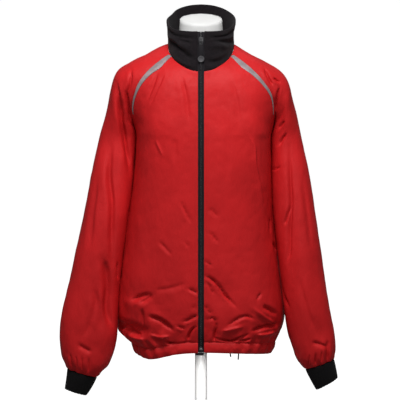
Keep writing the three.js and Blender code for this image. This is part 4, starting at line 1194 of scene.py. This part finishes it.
@dataclass
class JacketShell:
    """The fronts, back and sleeves."""

    front_flat: Place = (0.3, 0.69)
    front_area: float = 0.16
    back_flat: Place = (0.6, 0.74)
    back_area: float = 0.32
    sleeve_flat: Place = (0.46, 0.8)
    sleeve_area: float = 0.222
    underarm: tuple[float, float, float] = (660, 22, 3)

    def build(self, under: BVHTree) -> dict[str, bpy.types.Object]:
        """Makes the five shell pieces.

        Args:
            under: The dress form's surface.

        Returns:
            The pieces by their nodes' names.
        """
        made = {}
        for side in Side:
            node = f"front_{side.word}"
            made[node] = ClothPiece(
                f"{node}_cloth",
                SHELL,
                (node,),
                flat=self.front_flat,
                area=self.front_area,
                crumples=BODY_CRUMPLES,
                front_folds=FRONT_FOLDS[node],
            ).build(under)
        made["back"] = ClothPiece(
            "back_cloth",
            SHELL,
            ("back",),
            flat=self.back_flat,
            area=self.back_area,
            crumples=BODY_CRUMPLES,
            back_folds=BACK_FOLDS["back"],
        ).build(under)
        for side in Side:
            node = f"sleeve_{side.word}"
            made[node] = ClothPiece(
                f"{node}_cloth",
                SHELL,
                (node,),
                flat=self.sleeve_flat,
                area=self.sleeve_area,
                inside=(side.value * 0.225, -0.02, 0.45),
                crumples=SLEEVE_CRUMPLES,
                front_folds=FRONT_FOLDS[node],
                back_folds=BACK_FOLDS[node],
                press=self.underarm,
            ).build(under)
        return made


@dataclass
class HemCasing:
    """The drawn hem, a folded casing round the cord."""

    flat: Place = (1.05, 0.027)

    def build(self) -> bpy.types.Object:
        """Makes the casing."""
        return ClothPiece(
            "hem_casing_cloth",
            SHELL,
            ("hem_casing",),
            inside=(0, 0, 0.165),
            packed_wall=2.6 * MM,
            wall=2.2 * MM,
            flat=self.flat,
            held=Held.GATHERED,
            rests_on=("front_left_cloth", "front_right_cloth", "back_cloth"),
            crumples=(
                Crumple(16, 2.2, 3, ridged=0.3, seed=4.0),
                Crumple(7, 0.8, 2, seed=8.0),
            ),
            seam_sink=0.6 * MM,
            pucker=0.4 * MM,
            tuck_up=5 * MM,
        ).build()


@dataclass
class StandCollar:
    """The fleece stand collar."""

    flat: Place = (0.46, 0.082)

    def build(self) -> bpy.types.Object:
        """Makes the collar as one thick soft band."""
        return ClothPiece(
            "collar_cloth",
            FLEECE,
            ("collar",),
            inside=(0, 0, 0.87),
            packed_wall=2.4 * MM,
            wall=3.2 * MM,
            flat=self.flat,
            held=Held.HUNG,
            rests_on=("front_left_cloth", "front_right_cloth", "back_cloth"),
            crumples=(Crumple(40, 1.8, 0.7, seed=2.0), Crumple(15, 0.7, 0.8, seed=6.0)),
            front_folds=COLLAR_FOLDS,
            seam_sink=0.9 * MM,
            pucker=0.3 * MM,
            level=2,
            allowance=0.0,
            tuck_down=4 * MM,
            softened=1,
        ).build()


@dataclass
class RibCuff:
    """A ribbed cuff, rounded from its ribbed node."""

    side: Side
    flat: Place = (0.17, 0.05)

    def build(self) -> bpy.types.Object:
        """Makes the cuff."""
        name = f"cuff_{self.side.word}"
        shape = node_shape(name)
        bmesh.ops.join_triangles(
            shape, faces=shape.faces, angle_face_threshold=0.9, angle_shape_threshold=3.1
        )
        cuff = from_bmesh(f"{name}_knit", shape)
        rounded(cuff, 2)
        points, normals = vertex_places(cuff.data), vertex_normals(cuff.data)
        lift = Crumple(24, 1.4, 1.4, seed=3.3).lift(points)
        cuff.data.vertices.foreach_set("co", (points + normals * lift[:, None]).ravel())
        cuff.data.update()
        smooth_shading(cuff, 80)
        Piece(cuff.name, KNIT, (name,)).hand_over(cuff)
        return cuff


# --- trim ------------------------------------------------------------------------------------


def nearest_on(trees: Sequence[BVHTree], point: Vector) -> tuple[Vector, Vector]:
    """The nearest place on several surfaces, and the way out from it.

    Args:
        trees: The surfaces.
        point: Where to look from.

    Returns:
        The place and its normal.
    """
    found = [tree.find_nearest(point) for tree in trees]
    place, normal, _, _ = min(found, key=lambda hit: (hit[0] - point).length)
    return place, normal


def strip_mesh(
    name: str, rows: Sequence[Sequence[Vector]], wall: float, level: int = 1
) -> bpy.types.Object:
    """A strip through rows of places, with a wall.

    Args:
        name: The piece's name.
        rows: Places across the strip, row by row along it.
        wall: Its thickness.
        level: How often it is subdivided.

    Returns:
        The strip, with its modifiers applied.
    """
    shape = bmesh.new()
    bmesh.ops.create_grid(shape, x_segments=len(rows[0]) - 1, y_segments=len(rows) - 1, size=1)
    shape.verts.ensure_lookup_table()
    for place, vert in zip((p for row in rows for p in row), shape.verts):
        vert.co = place
    strip = from_bmesh(name, shape)
    modifier = strip.modifiers.new("wall", "SOLIDIFY")
    modifier.thickness, modifier.offset = wall, -1
    rounded(strip, level)
    smooth_shading(strip, 60)
    return strip


@dataclass
class RaglanPiping:
    """Tapered reflective piping on a front raglan seam.

    widths has rows of: the share of the way down, and how far the tape reaches from the seam
    towards the sleeve and towards the chest, in millimetres.
    """

    side: Side
    widths: tuple[tuple[float, float, float], ...] = (
        (0.0, 5.0, 5.0),
        (0.08, 5.4, 7.6),
        (0.16, 5.4, 11.6),
        (0.2, 5.2, 12.2),
        (0.25, 5.0, 8.0),
        (0.35, 4.4, 5.6),
        (0.48, 3.4, 4.0),
        (0.62, 2.5, 2.7),
        (0.76, 1.8, 1.9),
        (0.88, 1.2, 1.3),
        (1.0, 0.8, 0.8),
    )
    line: tuple[tuple[float, float, float], ...] = (
        (70.5, -49.5, 834),
        (93, -67, 817.5),
        (119.5, -78.5, 795.5),
        (141, -82, 771),
        (154.5, -80, 749),
        (161.5, -75, 729),
        (164.5, -68, 709),
        (165, -64, 697),
    )
    across: int = 7
    rows: int = 80
    crown: float = 1.1
    smoothing: int = 5

    def build(self, cloth: dict[str, bpy.types.Object]) -> bpy.types.Object:
        """Lays the strip over the seam.

        Args:
            cloth: The shell pieces by node.

        Returns:
            The piping.
        """
        word, sign = self.side.word, self.side.value
        trees = [surface_tree(cloth[f"front_{word}"]), surface_tree(cloth[f"sleeve_{word}"])]
        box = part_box(f"piping_{word}")
        known = np.array(self.line)
        outer = (box[1].x if sign > 0 else -box[0].x) / MM
        known[:, 0] += ease(known[:, 0], 130, 160) * (outer - 1.5 - known[:, 0].max())
        middle = smooth_line(known, self.rows)
        middle[:, 0] *= sign
        middle *= MM
        share, sleeve_half, chest_half = np.array(self.widths).T
        rows = []
        for k, point in enumerate(middle):
            before, after = middle[max(k - 1, 0)], middle[min(k + 1, self.rows - 1)]
            along = Vector(after - before).normalized()
            place, normal = nearest_on(trees, Vector(point))
            cross = along.cross(normal).normalized()
            halves = [np.interp(k / (self.rows - 1), share, h) for h in (sleeve_half, chest_half)]
            row = []
            for s in np.linspace(-1, 1, self.across):
                half = halves[int(s * sign > 0)]
                spot, out = nearest_on(trees, place + (cross * (s * half) + normal * 2) * MM)
                rise = 0.7 + self.crown * (1 - s * s) * min(half / 3, 1)
                row.append(spot + out * rise * MM)
            rows.append(row if sign > 0 else row[::-1])
        grid = np.array(rows)
        for _ in range(self.smoothing):
            grid[1:-1] = (grid[:-2] + grid[1:-1] + grid[2:]) / 3
        rows = [[Vector(spot) for spot in row] for row in grid]
        strip = strip_mesh(f"piping_{word}_tape", rows, 0.7 * MM)
        Piece(strip.name, REFLECTIVE, (f"piping_{word}",)).hand_over(strip)
        return strip


@dataclass
class PocketZip:
    """A closed pocket zip in a front, beside the side seam."""

    side: Side
    half: float = 4.5
    rows: int = 60

    def build(self, cloth: dict[str, bpy.types.Object]) -> bpy.types.Object:
        """Lays the zip's tape on the front and its chain on the tape."""
        word, sign = self.side.word, self.side.value
        tree = surface_tree(cloth[f"front_{word}"])
        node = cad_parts[f"pocket_zip_{word}"].data
        points = vertex_places(node)
        heights = np.linspace(points[:, 2].min() + MM, points[:, 2].max() - MM, self.rows)
        order = np.argsort(points[:, 2])
        x = np.interp(heights, points[order, 2], points[order, 0])
        y = np.interp(heights, points[order, 2], points[order, 1])
        for _ in range(12):
            x[1:-1] = (x[:-2] + x[1:-1] + x[2:]) / 3
            y[1:-1] = (y[:-2] + y[1:-1] + y[2:]) / 3
        rows = []
        for k in range(self.rows):
            place, normal = nearest_on([tree], Vector((x[k], y[k], heights[k])))
            cross = Vector((0, 0, 1)).cross(normal).normalized()
            row = []
            for s in (-1, -0.6, -0.35, -0.12, 0.12, 0.35, 0.6, 1):
                spot, out = nearest_on([tree], place + cross * (s * self.half * MM) + normal * MM)
                rise = 1.5 if abs(s) < 0.3 else 0.4
                row.append(spot + out * rise * MM)
            rows.append(row)
        strip = strip_mesh(f"pocket_zip_{word}_tape", rows, 0.6 * MM)
        Piece(strip.name, TAPE, (f"pocket_zip_{word}",)).hand_over(strip)
        return strip


@dataclass
class FrontZip:
    """The front zip: two tapes, a coil chain, a bottom retainer and its cross tack."""

    pitch: float = 1.9
    tooth: tuple[float, float, float] = (3.4, 1.3, 0.84)
    reach_over: float = 0.6
    tack: float = 7.5

    def chain_line(self, side: Side) -> tuple[np.ndarray, np.ndarray]:
        """Heights up the zip and the Y of the chain's front at each."""
        points = vertex_places(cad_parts[f"zip_tape_{side.word}"].data)
        inner = points[np.abs(points[:, 0]) < 1.2 * MM]
        levels = np.unique(np.round(inner[:, 2], 4))
        front = [inner[np.abs(inner[:, 2] - z) < 0.2 * MM][:, 1].min() for z in levels]
        return levels, np.array(front)

    def build(self) -> None:
        """Makes the tapes, the teeth, the retainer and the tack."""
        for side in Side:
            self.tape(side)
            self.teeth(side)
        HardPart("zip_bottom_box", PLASTIC, ("zip_retainer",), edge=0.5 * MM).build()
        self.cross_tack()

    def tape(self, side: Side) -> bpy.types.Object:
        """One tape, rounded from its node."""
        shape = node_shape(f"zip_tape_{side.word}")
        bmesh.ops.join_triangles(
            shape, faces=shape.faces, angle_face_threshold=0.5, angle_shape_threshold=3.1
        )
        long = [e for e in shape.edges if e.calc_length() > 12 * MM]
        bmesh.ops.subdivide_edges(shape, edges=long, cuts=3, use_grid_fill=True)
        tape = from_bmesh(f"zip_tape_{side.word}_ribbon", shape)
        bevel = tape.modifiers.new("edge", "BEVEL")
        bevel.width, bevel.segments, bevel.limit_method = 0.25 * MM, 2, "ANGLE"
        settle(tape)
        smooth_shading(tape, 50)
        Piece(tape.name, TAPE, (f"zip_tape_{side.word}",)).hand_over(tape)
        return tape

    def teeth(self, side: Side) -> bpy.types.Object:
        """One side's row of coil turns."""
        heights, fronts = self.chain_line(side)
        wide, deep, tall = (size * MM for size in self.tooth)
        step = self.pitch * MM
        shape = bmesh.new()
        count = int((heights[-1] - heights[0]) / step)
        x = side.value * (wide / 2 - self.reach_over * MM)
        for k in range(count):
            z = heights[0] + (k + (0.75 if side is Side.LEFT else 0.25)) * step
            y = float(np.interp(z, heights, fronts))
            place = Matrix.Translation((x, y - 0.1 * MM, z))
            size = Matrix.Diagonal((wide, deep, tall, 1))
            bmesh.ops.create_cube(shape, size=1, matrix=place @ size)
        bmesh.ops.bevel(
            shape,
            geom=list(shape.edges),
            offset=0.25 * MM,
            segments=1,
            profile=0.5,
            affect="EDGES",
            material=-1,
        )
        row = from_bmesh(f"zip_coil_{side.word}", shape)
        smooth_shading(row, 60)
        return Piece(row.name, CHAIN).hand_over(row)

    def cross_tack(self) -> bpy.types.Object:
        """Grey thread sewn in a cross over the foot of the zip."""
        heights, fronts = self.chain_line(Side.LEFT)
        z = heights[0] + 8 * MM
        y = float(np.interp(z, heights, fronts)) - 0.95 * MM
        shape = bmesh.new()
        for lean in (-1, 1):
            for row in (-0.5, 0, 0.5):
                turn = Matrix.Rotation(lean * math.radians(52), 4, "Y")
                place = Matrix.Translation((row * MM * lean, y, z))
                size = Matrix.Diagonal((0.34 * MM, 0.34 * MM, self.tack * MM, 1))
                bmesh.ops.create_cone(
                    shape,
                    cap_ends=True,
                    segments=6,
                    radius1=1,
                    radius2=1,
                    depth=1,
                    matrix=place @ turn @ size,
                )
        tack = from_bmesh("zip_cross_tack", shape)
        smooth_shading(tack)
        return Piece(tack.name, TACK_THREAD).hand_over(tack)


@dataclass
class ZipHead:
    """The slider and its long pull with a round end."""

    def build(self) -> None:
        """Makes the slider and the three parts of the pull."""
        HardPart("slider_body", ENAMEL, ("zip_slider",), edge=0.45 * MM).build()
        HardPart("pull_ring", ENAMEL, ("pull_eye",), PULL, edge=0.4 * MM).build()
        HardPart("pull_strip", RUBBER, ("pull_strap",), PULL, edge=0.5 * MM).build()
        self.button()

    def button(self) -> bpy.types.Object:
        """The round end, with a shallow dish in each face."""
        shape = node_shape("pull_button")
        bmesh.ops.dissolve_limit(
            shape, angle_limit=math.radians(3), verts=shape.verts, edges=shape.edges
        )
        faces = sorted(shape.faces, key=lambda f: -f.calc_area())[:2]
        rings = [e for face in faces for e in face.edges]
        bmesh.ops.bevel(
            shape,
            geom=rings,
            offset=0.7 * MM,
            segments=3,
            profile=0.5,
            affect="EDGES",
            material=-1,
        )
        faces = sorted(shape.faces, key=lambda f: -f.calc_area())[:2]
        for face in faces:
            bmesh.ops.inset_region(shape, faces=[face], thickness=1.3 * MM, depth=0)
            bmesh.ops.inset_region(shape, faces=[face], thickness=0.5 * MM, depth=-0.35 * MM)
        button = from_bmesh("pull_round_end", shape)
        smooth_shading(button, 30)
        return Piece(button.name, BUTTON, ("pull_button",), PULL).hand_over(button)


@dataclass
class Stitching:
    """Rows of machine stitches, sunk a little into the cloth.

    length, thick and pitch are one stitch's measures in millimetres.
    """

    name: str
    finish: Finish
    length: float = 2.2
    thick: float = 0.42
    pitch: float = 3.2
    gap: float = 6.0

    def __post_init__(self) -> None:
        """Starts with no stitches."""
        self.shape = bmesh.new()

    def sew(self, path: Sequence[tuple[Vector, Vector]]) -> None:
        """Sews along places on the cloth.

        Args:
            path: Close places, each with the way out from the cloth.
        """
        places = np.array([place for place, _ in path])
        outs = np.array([out for _, out in path])
        steps = np.linalg.norm(np.diff(places, axis=0), axis=1)
        run = np.concatenate([[0], np.cumsum(steps)])
        for start in np.arange(0.5, run[-1] / (self.pitch * MM) - 0.5):
            at = start * self.pitch * MM
            if steps[min(np.searchsorted(run, at, "right") - 1, len(steps) - 1)] > self.gap * MM:
                continue
            low, middle, high = (
                Vector([np.interp(at + shift * MM, run, places[:, i]) for i in range(3)])
                for shift in (-0.5 * self.length, 0, 0.5 * self.length)
            )
            out = Vector([np.interp(at, run, outs[:, i]) for i in range(3)]).normalized()
            along = (high - low).normalized()
            frame_of = Matrix((along, out.cross(along), out)).transposed().to_4x4()
            size = Matrix.Diagonal((self.length * MM, self.thick * MM, self.thick * MM, 1))
            place = Matrix.Translation(middle + out * 0.05 * MM)
            bmesh.ops.create_cube(self.shape, size=1, matrix=place @ frame_of @ size)

    def upright(self, tree: BVHTree, x: float, low: float, high: float) -> None:
        """Sews up the front of a piece at one X, in millimetres."""
        found = [
            tree.ray_cast(Vector((x * MM, -0.4, z * MM)), Vector((0, 1, 0)))
            for z in np.arange(low, high, 2.0)
        ]
        self.sew([(hit[0], hit[1]) for hit in found if hit[0] is not None])

    def round_edge(
        self, tree: BVHTree, node: str, top: bool, inset: float, skip: float = 0.0
    ) -> None:
        """Sews round a ring-shaped piece, beside its top or bottom edge.

        Args:
            tree: The cloth.
            node: The piece's node, whose edge is followed.
            top: Whether its top edge is followed.
            inset: How far from that edge, in millimetres, upwards when above 0.
            skip: How near the zip nothing is sewn, in millimetres.
        """
        points = vertex_places(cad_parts[node].data)
        centre = 0.5 * (points.min(0) + points.max(0))
        turns = np.linspace(-math.pi, math.pi, 361)
        around = np.arctan2(points[:, 0] - centre[0], centre[1] - points[:, 1])
        edge = []
        for turn in turns[::8]:
            apart = np.abs((around - turn + math.pi) % (2 * math.pi) - math.pi)
            near = points[apart < 0.14, 2]
            edge.append(np.quantile(near, 0.97 if top else 0.03))
        heights = np.interp(turns, turns[::8], edge) + inset * MM
        path = []
        for turn, z in zip(turns, heights):
            way = Vector((math.sin(turn), -math.cos(turn), 0))
            start = Vector((centre[0], centre[1], z)) + way * 0.5
            place, out, _, _ = tree.ray_cast(start, -way)
            if place is not None and abs(place.x) > skip * MM:
                path.append((place, out))
        self.sew(path)

    def beside(self, tree: BVHTree, node: str, shift: float) -> None:
        """Sews beside a narrow upright strip.

        Args:
            tree: The cloth.
            node: The strip's node.
            shift: How far along X from its middle, in millimetres.
        """
        points = vertex_places(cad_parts[node].data)
        order = np.argsort(points[:, 2])
        heights = np.arange(points[:, 2].min() + 2 * MM, points[:, 2].max() - 2 * MM, 2 * MM)
        path = []
        for z in heights:
            x, y = (np.interp(z, points[order, 2], points[order, i]) for i in (0, 1))
            path.append(nearest_on([tree], Vector((x + shift * MM, y, z))))
        self.sew(path)

    def build(self) -> bpy.types.Object:
        """Hands the stitches over as one piece."""
        rows = from_bmesh(self.name, self.shape)
        return Piece(rows.name, self.finish).hand_over(rows)


@dataclass
class Seams:
    """Where the jacket is topstitched."""

    cloth: dict[str, bpy.types.Object]
    casing: bpy.types.Object
    collar: bpy.types.Object

    def build(self) -> None:
        """Sews the zip edges, the casing, the pocket zips, the cuffs and the collar."""
        red = Stitching("shell_stitches", SHELL_THREAD)
        for side in Side:
            front = surface_tree(self.cloth[f"front_{side.word}"])
            red.upright(front, side.value * 12.5, 192, 792)
            for shift in (-7.5, 7.5):
                red.beside(front, f"pocket_zip_{side.word}", shift)
            sleeve = surface_tree(self.cloth[f"sleeve_{side.word}"])
            red.round_edge(sleeve, f"cuff_{side.word}", True, 5)
        casing = surface_tree(self.casing)
        red.round_edge(casing, "hem_casing", True, -4, skip=9)
        red.round_edge(casing, "hem_casing", False, 4, skip=9)
        red.build()
        black = Stitching("collar_stitches", FLEECE_THREAD, thick=0.5)
        black.round_edge(surface_tree(self.collar), "collar", True, -11, skip=9)
        black.build()


@dataclass
class DrawcordEnds:
    """The two free ends of the drawcord under the hem."""

    radius: float = 1.5
    exit_height: float = 174.0
    bend: float = 6.6
    ends: tuple[tuple[float, float, float, float], ...] = (
        (66.0, -118.1, 149.0, 0.3),
        (86.0, -113.6, 142.0, -0.2),
    )

    def route(self, x: float, inside: float, tip: float, turn: float) -> list[Vector]:
        """The points that one end follows, out of the casing and down.

        Args:
            x: Its place across.
            inside: The Y of the casing's inside there.
            tip: The height of its tip.
            turn: How it sways.

        Returns:
            The points, in metres.
        """
        top = self.exit_height
        points = [Vector((x, inside + k, top)) for k in range(3)]
        for angle in (25, 50, 75):
            a = math.radians(angle)
            drop = self.bend * (1 - math.cos(a))
            points.append(Vector((x, inside + 2 + self.bend * math.sin(a), top - drop)))
        down = top - self.bend
        for k in (0, 0.12, 0.24, 0.36, 0.5, 0.64, 0.76, 0.88, 1):
            z = down + (tip - down) * k
            points.append(Vector((x + turn * 6 * k * k, inside + 2 + self.bend, z)))
        return [point * MM for point in points]

    def build(self) -> None:
        """Makes both ends as round curves."""
        for number, end in enumerate(self.ends, 1):
            points = self.route(*end)
            curve = bpy.data.curves.new(f"drawcord_{number}", "CURVE")
            curve.dimensions = "3D"
            curve.bevel_depth = self.radius * MM
            curve.bevel_resolution = 4
            curve.use_fill_caps = True
            line = curve.splines.new("POLY")
            line.points.add(len(points) - 1)
            for spot, point in zip(line.points, points):
                spot.co = (*point, 1)
            cord = bpy.data.objects.new(f"drawcord_{number}", curve)
            bpy.context.scene.collection.objects.link(cord)
            Piece(cord.name, CORD, (f"drawcord_end_{number}",)).hand_over(cord)
            length = sum((b - a).length for a, b in zip(points, points[1:]))
            LOG.info("%s: length %.4f", cord.name, length)
            tuple(points[0])


# --- dress form and stand --------------------------------------------------------------------


@dataclass
class DressForm:
    """The limbless form, its pole and its round base."""

    level: int = 2

    def build(self) -> bpy.types.Object:
        """Makes the smooth form and dresses its stand.

        Returns:
            The form's torso.
        """
        shape = node_shape("form_torso")
        bmesh.ops.join_triangles(
            shape, faces=shape.faces, angle_face_threshold=0.6, angle_shape_threshold=3.1
        )
        crease = shape.edges.layers.float.new("crease_edge")
        for edge in shape.edges:
            if len(edge.link_faces) == 2 and edge.calc_face_angle() > 0.9:
                edge[crease] = 0.85
        torso = from_bmesh("dress_form", shape)
        rounded(torso, self.level)
        smooth_shading(torso, 60)
        Piece(torso.name, GLOSS, ("form_torso",)).hand_over(torso)
        HardPart("form_pole", WHITE, ("stand_pole",), edge=0.6 * MM, flat_angle=1).build()
        HardPart("form_base", WHITE, ("stand_base",), edge=0.6 * MM, flat_angle=1).build()
        return torso


# --- studio ----------------------------------------------------------------------------------


@dataclass(frozen=True)
class SoftLight:
    """A soft light aimed at the jacket, or a narrow spot when half_angle is given in degrees."""

    name: str
    place: tuple[float, float, float]
    size: Place
    watts: float
    aim: tuple[float, float, float] = (0, 0, 0.6)
    half_angle: float = 0.0

    def build(self) -> None:
        """Makes the light."""
        data = bpy.data.lights.new(self.name, "SPOT" if self.half_angle else "AREA")
        if self.half_angle:
            data.spot_size, data.spot_blend = math.radians(2 * self.half_angle), 0.3
            data.shadow_soft_size = self.size[0]
        else:
            data.shape, data.size, data.size_y = "RECTANGLE", *self.size
        data.energy = self.watts
        light = bpy.data.objects.new(self.name, data)
        light.location = self.place
        towards = Vector(self.aim) - Vector(self.place)
        light.rotation_euler = towards.to_track_quat("-Z", "Y").to_euler()
        bpy.context.scene.collection.objects.link(light)


@dataclass
class Studio:
    """A plain pale floor and plain soft light."""

    floor_size: float = 90.0
    floor_colour: Colour = (0.35, 0.35, 0.35)
    floor_glow: float = 0.95
    ambient: float = 0.15
    lights: tuple[SoftLight, ...] = (
        SoftLight("key", (0.0, -1.25, 2.3), (0.9, 0.6), 46, (0, 0, 0.7)),
        SoftLight("front", (0.3, -4.0, 1.7), (2.0, 2.0), 13, (0, 0, 0.55)),
        SoftLight("left fill", (-2.2, -1.9, 1.7), (0.8, 1.2), 6, (0, 0, 0.6)),
        SoftLight("right fill", (2.2, -1.9, 1.7), (0.8, 1.2), 6, (0, 0, 0.6)),
        SoftLight("top", (0.2, 1.2, 2.6), (1.6, 1.0), 6),
        SoftLight("stand", (0, -1.5, 0.12), (0.03, 0.03), 120, (0, 0, 0.07), 2.5),
    )

    def build(self) -> None:
        """Makes the floor, the lights and the surrounding light."""
        scene = bpy.context.scene
        scene.view_settings.view_transform = "Standard"
        world = bpy.data.worlds.new("studio")
        scene.world = world
        world.use_nodes = True
        back = world.node_tree.nodes["Background"]
        back.inputs["Color"].default_value = (1, 1, 1, 1)
        back.inputs["Strength"].default_value = self.ambient
        for light in self.lights:
            light.build()
        shape = bmesh.new()
        bmesh.ops.create_grid(shape, x_segments=1, y_segments=1, size=self.floor_size / 2)
        floor = from_bmesh("floor", shape)
        material = bpy.data.materials.new("floor_finish")
        graph = Graph(material)
        graph.set(
            graph.shader,
            {
                "Base Color": (*self.floor_colour, 1),
                "Roughness": 0.9,
                "Emission Color": (1, 1, 1, 1),
                "Emission Strength": self.floor_glow,
                "Specular IOR Level": 0.1,
            },
        )
        floor.data.materials.append(material)
        floor.visible_diffuse = False
        floor.visible_glossy = False
        floor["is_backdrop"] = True


def main() -> None:
    """Builds the camera, the cords and every piece."""
    logging.basicConfig(level=logging.INFO, format="%(message)s")
    VIEW.make_camera()
    DrawcordEnds().build()
    form = DressForm().build()
    under = surface_tree(form)
    cloth = JacketShell().build(under)
    Seams(cloth, HemCasing().build(), StandCollar().build()).build()
    for side in Side:
        RibCuff(side).build()
        RaglanPiping(side).build(cloth)
        PocketZip(side).build(cloth)
    FrontZip().build()
    ZipHead().build()
    Studio().build()
    boxes = {"cad": CAD_BOX, "visual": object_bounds()}
    {name: [list(corner) for corner in box] for name, box in boxes.items()}


if __name__ == "__main__":
    main()
